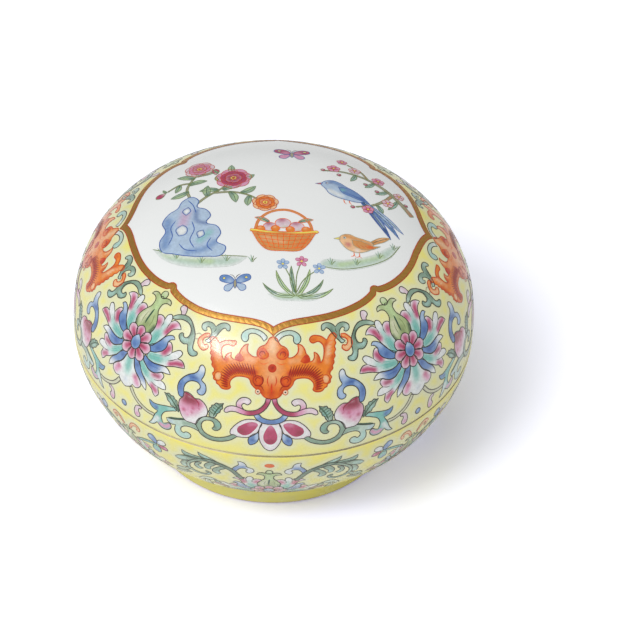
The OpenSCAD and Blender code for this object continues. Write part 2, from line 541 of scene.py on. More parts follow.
def smooth(points, closed=False, step=0.3, sharp=82):
    """Curve through the drawn points, and the numbers of its points where it turns sharply."""
    p = np.array(points, float)
    ahead = np.roll(p, -1, axis=0) - p
    size = np.hypot(*ahead.T)
    ahead /= np.maximum(size, 1e-6)[:, None]
    behind, before = np.roll(ahead, 1, axis=0), np.roll(size, 1)
    turn = np.degrees(np.arccos(np.clip((ahead * behind).sum(axis=1), -1, 1)))
    along = ahead * before[:, None] + behind * size[:, None]
    along /= np.maximum(np.hypot(*along.T), 1e-6)[:, None]
    corner = turn > sharp
    if not closed:
        corner[[0, -1]] = True
    leave = np.where(corner[:, None], ahead, along)
    arrive = np.where(corner[:, None], behind, along)
    line, corners = [], []
    for i in range(len(p) if closed else len(p) - 1):
        j = (i + 1) % len(p)
        if corner[i]:
            corners.append(len(line))
        count = max(2, math.ceil(size[i] / step))
        t = (np.arange(count) / count)[:, None]
        line.extend((2 * t ** 3 - 3 * t ** 2 + 1) * p[i] + (3 * t ** 2 - 2 * t ** 3) * p[j]
                    + (t ** 3 - 2 * t ** 2 + t) * size[i] * leave[i]
                    + (t ** 3 - t ** 2) * size[i] * arrive[j])
    if not closed:
        corners.append(len(line))
        line.append(p[-1])
    return np.array(line), corners


def strokes(line, corners, closed):
    """Parts of a line between its sharp turns."""
    if closed and not corners:
        return [np.vstack([line, line[:1]])]
    if closed:
        line = np.roll(line, -corners[0], axis=0)
        corners = [c - corners[0] for c in corners] + [len(line)]
        line = np.vstack([line, line[:1]])
    return [line[a:b + 1] for a, b in zip(corners, corners[1:])]


def strip(centre, widths):
    """Outline of a band along a drawn line, with widths spread evenly over its length."""
    line, _ = smooth(centre, step=0.7)
    run = np.concatenate([[0], np.cumsum(np.hypot(*np.diff(line, axis=0).T))])
    half = np.interp(run / run[-1], np.linspace(0, 1, len(widths)), widths)[:, None] / 2
    way = np.gradient(line, axis=0)
    way /= np.hypot(*way.T)[:, None]
    side = np.column_stack([-way[:, 1], way[:, 0]]) * half
    cap = line[-1] + way[-1] * half[-1] * 0.9
    return np.vstack([line + side, cap, (line - side)[::-1]])


def toothed(points):
    """Outline of a leaf with small teeth: a notch between each two points, but for those at the ends."""
    middle, depth, blunt = np.mean(points, axis=0), 0.2, 1
    edge = []
    for i, (here, there) in enumerate(zip(points, points[1:] + points[:1])):
        edge.append(here)
        if blunt <= i < len(points) - blunt:
            notch = np.add(here, there) * 0.5
            edge.append(tuple(notch + (middle - notch) / np.hypot(*(middle - notch)) * depth))
    return edge


def ring(centre, radius, tall=1.0, count=12):
    """Outline of a round dot."""
    turns = even_turns(count)
    return np.column_stack([centre[0] + radius * np.cos(turns), centre[1] + radius * tall * np.sin(turns)])


def petal(centre, angle, inner, outer, width):
    """Outline of a rounded petal that points away from a centre."""
    turn = math.radians(angle)
    way, side = np.array([math.cos(turn), math.sin(turn)]), np.array([-math.sin(turn), math.cos(turn)])
    half = [(0, 0), (0.3, 0.33), (0.62, 0.5), (0.88, 0.34), (1, 0), (0.88, -0.34), (0.62, -0.5),
            (0.3, -0.33)]
    return [centre + way * (inner + (outer - inner) * a) + side * width * b for a, b in half]


def within(points, edge):
    """Which of the points lie inside a closed outline."""
    after = np.roll(edge, -1, axis=0)
    x, h = points[:, :1], points[:, 1:]
    spans = (edge[:, 1] > h) != (after[:, 1] > h)
    rise = np.where(edge[:, 1] == after[:, 1], 1, after[:, 1] - edge[:, 1])
    cross = edge[:, 0] + (h - edge[:, 1]) * (after[:, 0] - edge[:, 0]) / rise
    return (spans & (x < cross)).sum(axis=1) % 2 == 1


def triangles(edge, step):
    """Points and triangles that fill a closed outline."""
    low, high = edge.min(axis=0), edge.max(axis=0)
    xs, hs = np.arange(low[0], high[0], step), np.arange(low[1], high[1], step * 0.87)
    grid = np.array([(x + (i % 2) * step / 2, h) for i, h in enumerate(hs) for x in xs]).reshape(-1, 2)
    grid = grid[within(grid, edge)]
    grid = grid[gap(grid, edge) > 0.45 * step] if len(grid) else grid
    points = [Vector(p) for p in np.vstack([edge, grid])]
    sides = [(i, (i + 1) % len(edge)) for i in range(len(edge))]
    points, _, faces = delaunay_2d_cdt(points, sides, [], 0, 1e-5, False)[:3]
    points = np.array([tuple(p) for p in points])
    faces = np.array([tuple(face) for face in faces])
    return points, faces[within(points[faces].mean(axis=1), edge)].tolist()


class Sheet:
    """Painted faces: places on the wall, lift above the glaze and colours."""

    def __init__(self):
        self.points, self.lifts, self.colours, self.faces = [], [], [], []

    def add(self, points, lifts, colours, faces):
        first = len(self.points)
        self.points.extend(points)
        self.lifts.extend(np.broadcast_to(lifts, len(points)))
        self.colours.extend(np.broadcast_to(colours, (len(points), 3)))
        self.faces.extend(tuple(first + i for i in face) for face in faces)


# Lift of the first layer of enamel above the glaze, step from layer to layer, swelling of a
# filled shape and lift of its drawn line, in millimetres
FIRST, LAYER, SWELL, DRAWN = 0.04, 0.028, 0.014, 0.019
# Spacing of the points along an edge and inside it, and how far the swelling and the thinning
# ends of a line reach
EDGE_STEP, FILL_STEP, SWELL_REACH, THIN_REACH = 0.3, 0.42, 0.7, 0.8


class Motif:
    """Ornament drawn flat in millimetres and fired onto a wall: filled shapes and lines."""

    def __init__(self, shift=(0, 0), size=1.0, ink="line", width=0.19):
        self.shift, self.size, self.ink, self.width = np.array(shift, float), size, ink, width
        self.fills, self.lines = Sheet(), Sheet()
        self.axis = -shift[0] / size
        self.pair, self.skew = True, (0, 0)

    def keep(self, sheet, points, lifts, colours, faces):
        """Adds faces, and their mirror image where the motif is drawn in pairs."""
        points = points * self.size + self.shift
        sheet.add(points, lifts, colours, faces)
        if self.pair:
            sheet.add(points * (-1, 1) + self.skew, lifts, colours, [face[::-1] for face in faces])

    def about(self, points):
        """Points measured from the motif's own axis."""
        return [(self.axis + x, h) for x, h in points]

    def whole(self, half):
        """Closed outline from its right half."""
        return half + [(2 * self.axis - x, h) for x, h in reversed(half) if abs(x - self.axis) > 0.02]

    def twice(self, name, places, radius, amount=1.0):
        """The same wash on both sides of the motif's own axis."""
        return [near(name, places, radius, amount),
                near(name, [(2 * self.axis - x, h) for x, h in places], radius, amount)]

    def stroke(self, line, ink, width, layer, taper=0.6):
        """One brush line: it thins out towards its ends."""
        run = np.concatenate([[0], np.cumsum(np.hypot(*np.diff(line, axis=0).T))])
        way = np.gradient(line, axis=0)
        way /= np.maximum(np.hypot(*way.T), 1e-9)[:, None]
        ends = np.minimum(run, run[-1] - run)
        half = width / 2 * (1 - taper + taper * ease(ends / THIN_REACH)) / self.size
        side = np.column_stack([-way[:, 1], way[:, 0]]) * half[:, None]
        points = np.vstack([line + side, line - side])
        n = len(line)
        faces = [(n + i, n + i + 1, i + 1, i) for i in range(n - 1)]
        self.keep(self.lines, points, FIRST + layer * LAYER + DRAWN, hue(ink), faces)

    def shape(self, outline, shade, *washes, layer=0, ink=None, width=None, sharp=82, swell=1.0):
        """Filled shape with washes of other colours, and its drawn outline."""
        edge, corners = smooth(outline, True, EDGE_STEP / self.size, sharp)
        points, faces = triangles(edge, FILL_STEP / self.size)
        depth = gap(points, edge)
        colours = np.tile(hue(shade), (len(points), 1))
        for wash in washes:
            name, amount = wash(points, depth)
            colours += (np.array(hue(name)) - colours) * amount[:, None]
        lifts = FIRST + layer * LAYER + SWELL * swell * ease(depth * self.size / SWELL_REACH)
        self.keep(self.fills, points, lifts, colours, faces)
        ink = self.ink if ink is None else ink
        if ink:
            for part in strokes(edge, corners, True):
                self.stroke(part, ink, width or self.width, layer, 0.35)

    def line(self, points, ink=None, width=None, layer=0, taper=0.6):
        line, corners = smooth(points)
        for part in strokes(line, corners, False):
            self.stroke(part, ink or self.ink, width or self.width, layer, taper)

    def comb(self, roots, tips, count, ink, width, layer=0):
        """Short lines side by side, from one drawn line to another."""
        roots, tips = smooth(roots)[0], smooth(tips)[0]
        for t in np.linspace(0, 1, count):
            ends = [[np.interp(t * (len(line) - 1), range(len(line)), line[:, k]) for k in (0, 1)]
                    for line in (roots, tips)]
            way = np.subtract(ends[1], ends[0])
            self.stroke(np.array([np.add(ends[0], way * s) for s in (0, 0.3, 0.6, 1)]),
                        ink, width, layer, 0.75)

    def fire(self, name, skin, turns):
        """Wraps the motif round the wall at each turn. A piece's name starts with that of its body."""
        body = name.split("_")[0]
        for sheet, part, cover in ((self.fills, "", "enamel"), (self.lines, "_lines", "drawn_line")):
            if not sheet.faces:
                continue
            flat, lifts = np.array(sheet.points), np.array(sheet.lifts)
            places, faces = [], []
            for turn in turns:
                first = len(places) * len(flat)
                places.append(skin.wrap(flat, lifts, math.radians(turn)))
                faces.extend(tuple(first + i for i in face) for face in sheet.faces)
            colours = np.tile(np.array(sheet.colours), (len(places), 1))
            build(name + part, np.vstack(places), faces, body, cover, colours=colours)


# Half of the fine slit left between lid and bowl, in millimetres
SLIT = 0.02
SIDES = 256
# Turns from the front where the ornament repeats, in degrees
FOUR = (0, 90, 180, 270)
BETWEEN = (45, 135, 225, 315)


class SEALBOX_OT_lid(bpy.types.Operator):
    """Make the lid's white porcelain"""
    bl_idname = "seal_box.lid"
    bl_label = "Lid"

    def execute(self, context):
        inset, band, soft = in_mm("glaze_inset"), in_mm("band"), in_mm("joint_round")
        radius, inner = BOX_R - inset, BOX_R - in_mm("edge_wall")
        low, rise = SEAM_Z + SLIT, CROWN_Z - SEAM_Z - band
        outside = dome(radius, rise - inset, SEAM_Z + band)
        inside = dome(inner, rise - in_mm("crown_wall"), SEAM_Z + band)[::-1]
        outline = arc((radius - soft, low + soft), soft, -90, 0) + list(outside) + list(inside)
        outline += arc((inner + soft, low + soft), soft, 180, 270)
        points, faces = lathe(outline, SIDES, True)
        lid = build("lid_porcelain", points, faces, "lid", "white_glaze")
        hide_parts("lid")
        return {"FINISHED"}


class SEALBOX_OT_bowl(bpy.types.Operator):
    """Make the bowl's porcelain with foot ring, rim and lip"""
    bl_idname = "seal_box.bowl"
    bl_label = "Bowl"

    def execute(self, context):
        inset, soft, edge = in_mm("glaze_inset"), in_mm("joint_round"), in_mm("edge_round")
        lip_r = BOX_R - in_mm("edge_wall") - in_mm("lip_gap")
        lip_in = lip_r - in_mm("lip_wall")
        foot_low = in_mm("foot_r") - in_mm("foot_taper")
        foot_in, hollow = foot_low - in_mm("foot_wall"), in_mm("foot_hollow")
        side, inward, _ = bowl_side()
        outside, inside = side + inward * inset, bowl_inside()
        seam, floor = SEAM_Z - SLIT, in_mm("foot_h") + in_mm("bowl_wall")
        outline = [(0, hollow), (foot_in - 2 * edge, hollow)]
        outline += arc((foot_in - 2 * edge, hollow - edge), edge, 90, 0)
        outline += arc((foot_in + edge, edge), edge, 180, 270)
        outline += arc((foot_low - edge - inset, edge), edge, -90, 0)
        outline += arc((in_mm("foot_r") + edge, in_mm("foot_h") - edge), edge + inset, 180, 90)
        outline += list(outside[-2:1:-1])
        outline += arc((BOX_R - inset - soft, seam - soft), soft, 0, 90)
        outline += [(lip_r + 0.3, seam), (lip_r, seam + 0.3)]
        outline += arc((lip_r - edge, LIP_TOP - edge), edge, 0, 90)
        outline += arc((lip_in + edge, LIP_TOP - edge), edge, 90, 180)
        outline += [(lip_in, SEAM_Z + 1), (lip_in, SEAM_Z)]
        outline += [tuple(p) for p in inside[1:] if p[1] > floor + 0.01]
        outline += [(inside[-1][0] - 1, floor), (0, floor)]
        points, faces = lathe(outline, SIDES, True)
        bowl = build("bowl_porcelain", points, faces, "root", "white_glaze")
        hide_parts("base")
        return {"FINISHED"}


def lid_skin(kind=Skin):
    """Outside of the lid from the joint to the crown: heights run up from its widest circle."""
    inset, soft, turn = in_mm("glaze_inset"), in_mm("joint_round"), 65
    radius, widest = BOX_R - inset, SEAM_Z + in_mm("band")
    edge = arc((radius - soft, SEAM_Z + SLIT + soft), soft, -turn, 0)
    low = math.radians(turn) * soft + in_mm("band") - soft - SLIT
    return kind([*edge, *dome(radius, CROWN_Z - widest - inset, widest, 240)], -low, True)


def bowl_skin():
    """Outside of the bowl and its foot: heights run down from the lid's widest circle."""
    inset, edge, soft, turn = in_mm("glaze_inset"), in_mm("edge_round"), in_mm("joint_round"), 65
    side, inward, _ = bowl_side(160)
    top = SEAM_Z - SLIT - soft
    outline = arc((BOX_R - inset - soft, top), soft, turn, 0)
    outline += [tuple(p) for p in side + inward * inset if p[1] < top - 0.05]
    outline += arc((in_mm("foot_r") + edge, in_mm("foot_h") - edge), edge + inset, 90, 180)[1:]
    outline += [(in_mm("foot_r") - in_mm("foot_taper") - inset, edge)]
    return Skin(outline, math.radians(turn) * soft - in_mm("band") - soft - SLIT, False)


# Outer edge of the gilt border over an eighth of the way round, in millimetres: length to the
# right of the front and height above the widest circle
BORDER = [(0, 27.75), (0.9, 28.6), (2.2, 29.25), (4, 29.7), (8, 29.95), (13, 29.9), (18, 30.1),
          (22, 30.5), (24.4, 31), (25.4, 31.35), (26, 31.9)]
# Mean distance of the border from the box's axis, and width of its gilding with the red edges
BORDER_R, GOLD_WIDTH = 33, 1.42
# Turns from the front in degrees where the painter's hand strayed, and how far up it strayed
STRAYED = [(-70, 0), (-48, -0.5), (-30, -0.65), (-14, -0.2), (-4, 0), (0, -0.1), (5, 0), (24, 0.3),
           (44, 0.3), (60, 0.35), (76, 0.6), (84, 0.2), (90, -0.1), (100, 0), (115, 0)]


def border_height(turns):
    """Height of the border's outer edge at each turn."""
    line, _ = smooth(BORDER)
    degrees = np.degrees(turns)
    eighth = np.abs((degrees + 45) % 90 - 45) / 45 * BORDER[-1][0]
    strayed = np.interp((degrees + 180) % 360 - 180, *zip(*STRAYED))
    return np.interp(eighth, line[:, 0], line[:, 1]) + strayed


class SEALBOX_OT_border(bpy.types.Operator):
    """Lay the gilt border of the panel with its red edges"""
    bl_idname = "seal_box.border"
    bl_label = "Gilt border"

    def execute(self, context):
        skin = lid_skin()
        turns = even_turns(1440)
        low = border_height(turns)
        run = turns[1] * BORDER_R
        reach = math.floor(GOLD_WIDTH / run)
        high = [np.roll(low, k) + math.sqrt(GOLD_WIDTH ** 2 - (k * run) ** 2)
                for k in range(-reach, reach + 1)]
        tall = np.max(high, axis=0) - low
        self.band(skin, turns, low, tall, "gilt_border", "gilding", "gilding",
                  [(k, FIRST + LAYER * ease(1 - abs(2 * k - 1)) * 0.9) for k in np.linspace(0, 1, 7)])
        for name, at in (("border_edge_low", -0.06), ("border_edge_high", 0.9)):
            self.band(skin, turns, low + tall * at, tall * 0.15, name, "iron_red", "red_line",
                      [(k, FIRST + 0.012) for k in (0, 0.5, 1)])
        return {"FINISHED"}

    def band(self, skin, turns, low, tall, name, slot, cover, rows):
        points = np.vstack([skin.place(turns, low + tall * k, lift) for k, lift in rows])
        across = np.repeat([2 * k - 1 for k, _ in rows], len(turns))
        build(name, points, around(len(rows), len(turns)), "lid", cover,
              numbers={"run": np.tile(turns * BORDER_R, len(rows)), "across": across})


class SEALBOX_OT_ground(bpy.types.Operator):
    """Lay the yellow ground round the painted ornament, thin beside the lines"""
    bl_idname = "seal_box.ground"
    bl_label = "Yellow ground"

    def execute(self, context):
        # Rows lie closer together near the joint
        turns, closer = even_turns(512), 1.1
        skin = lid_skin()
        self.sheet("lid_ground", "lid", skin, turns, np.linspace(0, 1, 54) ** closer,
                   border_height(turns) + 0.5)
        skin = bowl_skin()
        self.sheet("bowl_ground", "root", skin, turns, 1 - np.linspace(1, 0, 76) ** closer,
                   skin.top - 0.01)
        return {"FINISHED"}

    def sheet(self, name, body, skin, turns, rows, high):
        low, lift = np.full(len(turns), skin.h[0] + 0.01), 0.02
        points = np.vstack([skin.place(turns, low + (high - low) * k, lift) for k in rows])
        drawn = [piece.data for piece in bpy.context.scene.objects
                 if piece.name.startswith(body + "_") and "paint" in piece.data.attributes]
        painted = [np.array([vertex.co for vertex in mesh.vertices])[::2] for mesh in drawn]
        far_away = np.full((1, 3), 9.0)
        painted = np.vstack(painted + [far_away])
        tree = KDTree(len(painted))
        for place in painted:
            tree.insert(place, 0)
        tree.balance()
        away = np.array([tree.find(Vector(p) * MM)[2] / MM for p in points])
        colours = np.tile(hue("pale_yellow"), (len(points), 1))
        # The yellow is thin by the joint and by the foot
        thick = 0.35 + 0.65 * ease((points[:, 2] - in_mm("foot_h")) / 2)
        if body == "lid":
            thick = 0.45 + 0.4 * ease((points[:, 2] - SEAM_Z) / 7)
        for shade, amount in (("yellow", ease((away - 0.25) / 1.3)),
                              ("deep_yellow", 0.85 * thick * ease((away - 0.9) / 2.2))):
            colours += (np.array(hue(shade)) - colours) * amount[:, None]
        build(name, points, around(len(rows), len(turns)), body, "yellow_ground",
              colours=colours)


def drooped(outline):
    """Lowers the tip of the left wing, as no two wings come out alike by hand."""
    return [(x, h - 0.3 * max(0, h - 22) * min(1, max(0, -x - 5) / 4)) for x, h in outline]


def bats(skin):
    """Iron-red bats under the cusps of the border."""
    bat = Motif(shift=(0.45, 0), ink="bat_edge", width=0.24)
    bat.pair = False
    bat.shape(drooped(bat.whole([(-0.45, 27.45), (0.3, 27.1), (0.7, 26.3), (1.3, 25.6), (2, 25.3),
        (2.6, 24.7), (2.85, 23.9), (2.8, 23), (3.6, 23), (4.3, 23.4), (4.8, 24), (4.95, 24.7), (4.7, 25.75),
        (5.4, 25.6), (6, 25), (6.4, 24.2), (6.6, 23.6), (7, 23.2), (7.35, 22.6), (7.5, 21.85), (8, 22),
        (8.35, 22.6), (8.25, 23.8), (8.8, 23.5), (9.3, 22.9), (9.6, 22.2), (9.75, 21.4), (10.2, 21.9),
        (10.4, 22.7), (10.45, 23.8), (10.3, 24.8), (9.8, 25.5), (9.2, 25.9), (8.6, 25.85), (8.1, 25.7),
        (7.5, 26), (7.25, 26.5), (7.4, 27), (8, 27.3), (8.8, 27.2), (9.7, 26.9), (10.5, 26.3), (11, 25.9),
        (11.3, 26.4), (11.8, 27), (12.3, 27.15), (12.9, 26.8), (13.15, 26.2), (12.8, 25.6), (13.05, 24.9),
        (12.75, 24.3), (13, 23.6), (12.7, 23), (12.95, 22.3), (12.6, 21.7), (12.75, 21), (12.4, 20.4),
        (12.5, 19.8), (11.95, 19.2), (11.9, 18.6), (12.25, 18.1), (12, 17.5), (12, 17), (11.4, 16.7),
        (11.3, 16.2), (10.8, 16), (10.4, 15.5), (9.5, 15.3), (8.7, 15.5), (8.3, 15.9), (8.45, 16.5),
        (8.4, 17.2), (7.9, 17.9), (7.2, 18.4), (6.3, 18.6), (5.3, 18.6), (4.5, 18.4), (4.15, 18),
        (3.95, 17.4), (3.5, 16.8), (2.9, 16.3), (1.9, 15.8), (1.6, 15.2), (1, 14.6), (0.3, 14.3),
        (-0.45, 14.1)])), "iron", *bat.twice("pale_iron", [(5.2, 23.9), (5.6, 25.2)], 1.0, 0.75),
        *bat.twice("pale_iron", [(11.4, 24.3), (11.5, 23)], 1.0, 0.95),
        *bat.twice("pale_iron", [(12.2, 26.2), (11.9, 25)], 0.8, 0.5),
        *bat.twice("pale_iron", [(8.6, 23.2), (8.3, 22)], 0.7, 0.6),
        near("pale_iron", [(-0.45, 23.4), (-0.45, 18.8)], 3.4, 0.5),
        near("mid_iron", [(-0.45, 17), (-0.45, 15.4)], 2.4, 0.7),
        *bat.twice("pale_iron", [(11.2, 21.4), (10.8, 22.6)], 0.9, 0.35),
        *bat.twice("pale_iron", [(3.6, 22.3), (5, 22.4)], 1.1, 0.45),
        near("pale_iron", [(-0.45, 26.3), (-0.45, 24.6)], 1.5, 0.95),
        near("pale_iron", [(-0.45, 19), (-0.45, 18.2)], 1.2, 0.3), *bat.twice("dark_iron", [(3.2, 19.7),
        (5, 19.8), (7, 19.7), (8.6, 18.8), (9.3, 17.6), (9.2, 16.2)], 1.15, 1.0),
        *bat.twice("dark_iron", [(3.4, 18.5), (2.5, 16.9), (1.7, 15.4)], 1.5, 0.85),
        near("dark_iron", [(-0.45, 14.3), (-0.45, 15.6)], 1.6, 0.7),
        *bat.twice("dark_iron", [(12.4, 22.4), (12.3, 20.4), (11.7, 19.2)], 0.8, 0.7),
        *bat.twice("dark_iron", [(8.3, 26.4), (7.7, 26.4)], 0.8, 0.55),
        *bat.twice("dark_iron", [(11, 25.6), (10.5, 23.8), (9.9, 21.6)], 0.7, 0.7),
        *bat.twice("dark_iron", [(9.2, 22.6), (9.3, 21.4)], 0.6, 0.8), layer=0)
    bat.pair = True
    bat.shape([(0.35, 23.6), (0.9, 24.4), (1.6, 25), (2.3, 24.5), (2.65, 23.4), (2.2, 22.8), (1.2, 22.7)],
        "mid_iron", near("dark_iron", (1.8, 24.1), 0.7), near("iron", (1.2, 23.4), 0.8), layer=1,
        ink="dark_iron", width=0.16)
    bat.line([(1.1, 23.4), (1.4, 24.2), (2, 24.2), (2.3, 23.6), (1.9, 23.2)], "deep_iron", 0.2, 1)
    bat.shape([(5.4, 22.1), (5.9, 22.9), (6.5, 23.4), (7, 23.2), (7.35, 22.6), (7.5, 21.85), (6.4, 21.6)],
        "dark_iron", near("mid_iron", (5.8, 22.4), 0.9), layer=1, ink="")
    bat.shape(ring((2.5, 18.05), 1.05), "mid_iron", rim("dark_iron", 0.7, 0.7), layer=1, ink="deep_iron",
        width=0.16)
    bat.line([(2, 18.4), (2.6, 18.7), (3, 18.2), (2.7, 17.7)], "deep_iron", 0.2, 1)
    bat.line([(1.2, 16), (1.8, 16.9), (3.2, 16.9)], "deep_iron", 0.18, 1)
    bat.shape([(10.4, 18.6), (11.1, 18.7), (11.7, 18.2), (11.8, 17.5), (11.3, 16.9), (10.6, 17.1),
        (10.3, 17.8)], "pale_iron", rim("iron", 0.5), layer=1, ink="bat_edge", width=0.16)
    bat.shape(ring((2.45, 15.7), 0.55), "pale_iron", near("enamel_white", (2.45, 15.7), 0.5), layer=1,
        width=0.16)
    bat.shape(ring((2.45, 15.7), 0.17), "line", layer=2, ink="")
    bat.comb([(3, 18.8), (5, 19), (7.2, 18.8), (8.3, 18.1), (8.7, 17), (8.8, 15.9)], [(3.6, 21.2),
        (5.6, 21.5), (8.1, 21.1), (10.1, 19.6), (10.6, 17.6), (10.3, 16)], 19, "deep_iron", 0.3, 1)
    bat.comb([(11.2, 25.6), (11.4, 24), (11.2, 22.5)], [(12.4, 25.6), (12.5, 24.2), (12.3, 22.8)], 5,
        "mid_iron", 0.14, 0)
    bat.line([(4.85, 24.9), (4.9, 24.2), (4.6, 23.6)], "dark_iron", 0.3, 1)
    bat.line([(1.9, 19.3), (1.4, 18.6), (1.5, 17.6), (2.2, 16.8)], "deep_iron", 0.2, 1)
    bat.line([(0.3, 19.2), (0.5, 18), (0.2, 17)], "dark_iron", 0.18, 1)
    bat.line([(0.4, 22), (1.4, 21.6), (2.4, 21.9)], "mid_iron", 0.16, 1)
    bat.pair = False
    bat.shape(ring((-0.45, 20.8), 0.9), "dark_iron", near("deep_iron", (-0.45, 20.9), 0.6), layer=1, ink="")
    bat.line([(-0.45, 17.6), (-0.5, 16.6), (-0.4, 15.4)], "dark_iron", 0.3, 1)
    bat.fire("lid_bats", skin, FOUR)


def curls(skin):
    """Curls, sprigs and hooks beside the bats' wings."""
    curl = Motif()
    curl.skew, curl.shift = (-0.9, 0.1), np.array([-0.1, -0.3])
    curl.shape([(0.45, 27.5), (1, 28.2), (2, 28.85), (3, 29.1), (4, 29.05), (5, 28.6), (5.75, 27.8),
        (5.95, 27), (5.7, 26.4), (5.2, 26.1), (4.6, 26.4), (4.35, 27.05), (4.4, 27.6), (4, 28), (3.1, 28.1),
        (2.2, 27.8), (1.6, 27.3), (1.15, 26.6)], "pale_leaf", near("enamel_white", (1.4, 27.4), 1.6, 0.8),
        near("pale_turquoise", (5.2, 27.4), 1.6))
    curl.skew, curl.shift = (1, -0.5), np.array([0, -0.5])
    curl.shape([(10.2, 29.2), (10.3, 29.8), (11, 30.1), (12, 29.9), (12.9, 29.3), (13.35, 28.8),
        (13.9, 29.3), (14.8, 29.45), (15.8, 29.1), (16.5, 28.4), (16.5, 27.6), (15.9, 27.3), (15.3, 27.6),
        (15.5, 28.1), (14.9, 28.4), (14.4, 27.9), (14.3, 27), (14.8, 26.1), (15.7, 25.4), (15.1, 25.1),
        (14.1, 25.9), (13.2, 26.9), (12.4, 28), (11.7, 28.8), (11.2, 29), (10.9, 28.6), (10.4, 28.6)],
        "leaf", near("pale_leaf", (16, 28.2), 1.4), near("pale_leaf", (15.2, 25.6), 1.3),
        near("pale_leaf", (10.8, 29.3), 1.2, 0.8), near("dark_leaf", [(12.4, 28.5), (13.6, 26.8)], 0.5, 0.7))
    curl.line([(13.3, 28.6), (13.4, 28.1), (13.8, 27.5)], "dark_leaf", 0.2, 0)
    curl.ink, curl.width = "bat_edge", 0.22
    curl.shape([(14.6, 27.1), (15.5, 26.9), (16.4, 26.2), (17.1, 25.4), (17.3, 24.3), (16.9, 23.7),
        (16.3, 23.3), (15.4, 23.6), (14.9, 24.3), (15.1, 24.7), (15.7, 24.5), (16.2, 24.9), (16.1, 25.5),
        (15.5, 26.1), (14.8, 26.4)], "pale_iron", rim("iron", 0.5, 0.7),
        near("iron", [(15.2, 26.6), (16.4, 25.8)], 0.9, 0.6), layer=1)
    curl.fire("lid_curls", skin, FOUR)


def ribbons(skin):
    """Ribbons and petals under the bats."""
    bow = Motif()
    bow.shape([(7.3, 11.7), (7.4, 12.6), (7, 13.4), (6.3, 14), (5.4, 14.15), (4.6, 13.9), (4.25, 13.4),
        (4.5, 12.9), (5, 12.55), (5.8, 12.8), (6.2, 12.4), (6.1, 11.8), (5.6, 11.3), (6.2, 11), (7, 11.1)],
        "pale_pink", near("pink", (6.6, 11.8), 1.4), near("enamel_white", (5.2, 13.5), 1.2, 0.6))
    bow.shape([(0.1, 14.2), (1.15, 14.3), (1.3, 13.4), (1.9, 12.5), (3, 11.6), (4.2, 11.25), (5.2, 11.2),
        (6.4, 11.6), (7.4, 11.85), (8.4, 11.85), (9.3, 11.5), (9.85, 10.9), (9.9, 10.2), (9.5, 10.1),
        (8.7, 10.5), (7.6, 10.6), (6.4, 10.3), (5.2, 10.1), (3.9, 10.2), (2.7, 10.6), (1.6, 11.4),
        (0.8, 12.4), (0.35, 13.3)], "magenta", fade("pink", (4.6, 0), (6.4, 0)),
        fade("pale_pink", (6.2, 0), (8, 0)),
        near("deep_magenta", [(1, 13.6), (1.9, 12.2), (4.2, 10.8)], 0.9, 0.6),
        near("pink", (0.6, 14), 1.0, 0.8), layer=1)
    bow.shape([(1.85, 8.3), (2.8, 9), (4.3, 9.2), (5.6, 8.9), (6.9, 8), (8, 6.7), (8.6, 5.5), (8.5, 4.8),
        (7.7, 4.4), (6.4, 4.3), (5, 4.4), (3.8, 5), (2.75, 6), (2.3, 7.2)], "enamel_white",
        rim("pale_pink", 1.3, 0.6))
    bow.shape([(2.7, 8.1), (3.6, 8.55), (4.9, 8.3), (6.1, 7.6), (6.95, 6.8), (7.05, 5.8), (6.4, 5.15),
        (5.4, 4.95), (4.5, 5.35), (3.7, 6.2), (3, 7.2)], "magenta",
        near("pink", [(3.2, 8.1), (4.4, 8)], 0.8, 0.5), near("deep_magenta", (6.1, 5.9), 1.6, 0.9), layer=1,
        ink="")
    bow.shape([(2.55, 5.9), (2.45, 4.7), (2.7, 3.6), (3.4, 2.8), (4.3, 2.5), (4.7, 3.3), (4.5, 4.5),
        (3.7, 5.4)], "blue", near("pale_blue", [(2.8, 5.5), (2.8, 4.4)], 0.9),
        near("deep_blue", (3.8, 3.8), 0.8, 0.8))
    bow.pair = False
    bow.shape([(-3.65, 10.25), (-3.1, 9.4), (-2.3, 8.75), (-1.2, 8.35), (0, 8.25), (1.2, 8.35), (2.3, 8.75),
        (3.1, 9.4), (3.65, 10.25), (2.6, 10.55), (1.9, 9.9), (1, 9.5), (0, 9.35), (-1, 9.5), (-1.9, 9.9),
        (-2.6, 10.55)], "blue", near("pale_blue", (3.2, 10.2), 1.0), near("pale_blue", (-3.2, 10.2), 1.0),
        near("deep_blue", [(-0.8, 8.8), (0.8, 8.8)], 0.7, 0.5), layer=1)
    bow.shape(bow.whole([(0, 8.3), (1.85, 8.35), (2.3, 7.3), (2.45, 6.2), (2.4, 4.8), (2.15, 3.6),
        (1.65, 2.5), (1, 1.6), (0, 1.1)]), "enamel_white", rim("pale_pink", 1.3, 0.6), sharp=75)
    bow.shape(bow.whole([(0, 8), (0.6, 7.5), (1.1, 6.5), (1.45, 5.4), (1.45, 4.4), (1.1, 3.5), (0.5, 2.95),
        (0, 2.85)]), "magenta", near("pink", (0, 7.9), 1.6, 0.6),
        near("deep_magenta", [(-0.5, 3.7), (0.5, 3.7)], 1.1, 0.8), layer=1, ink="")
    bow.fire("lid_ribbons", skin, FOUR)


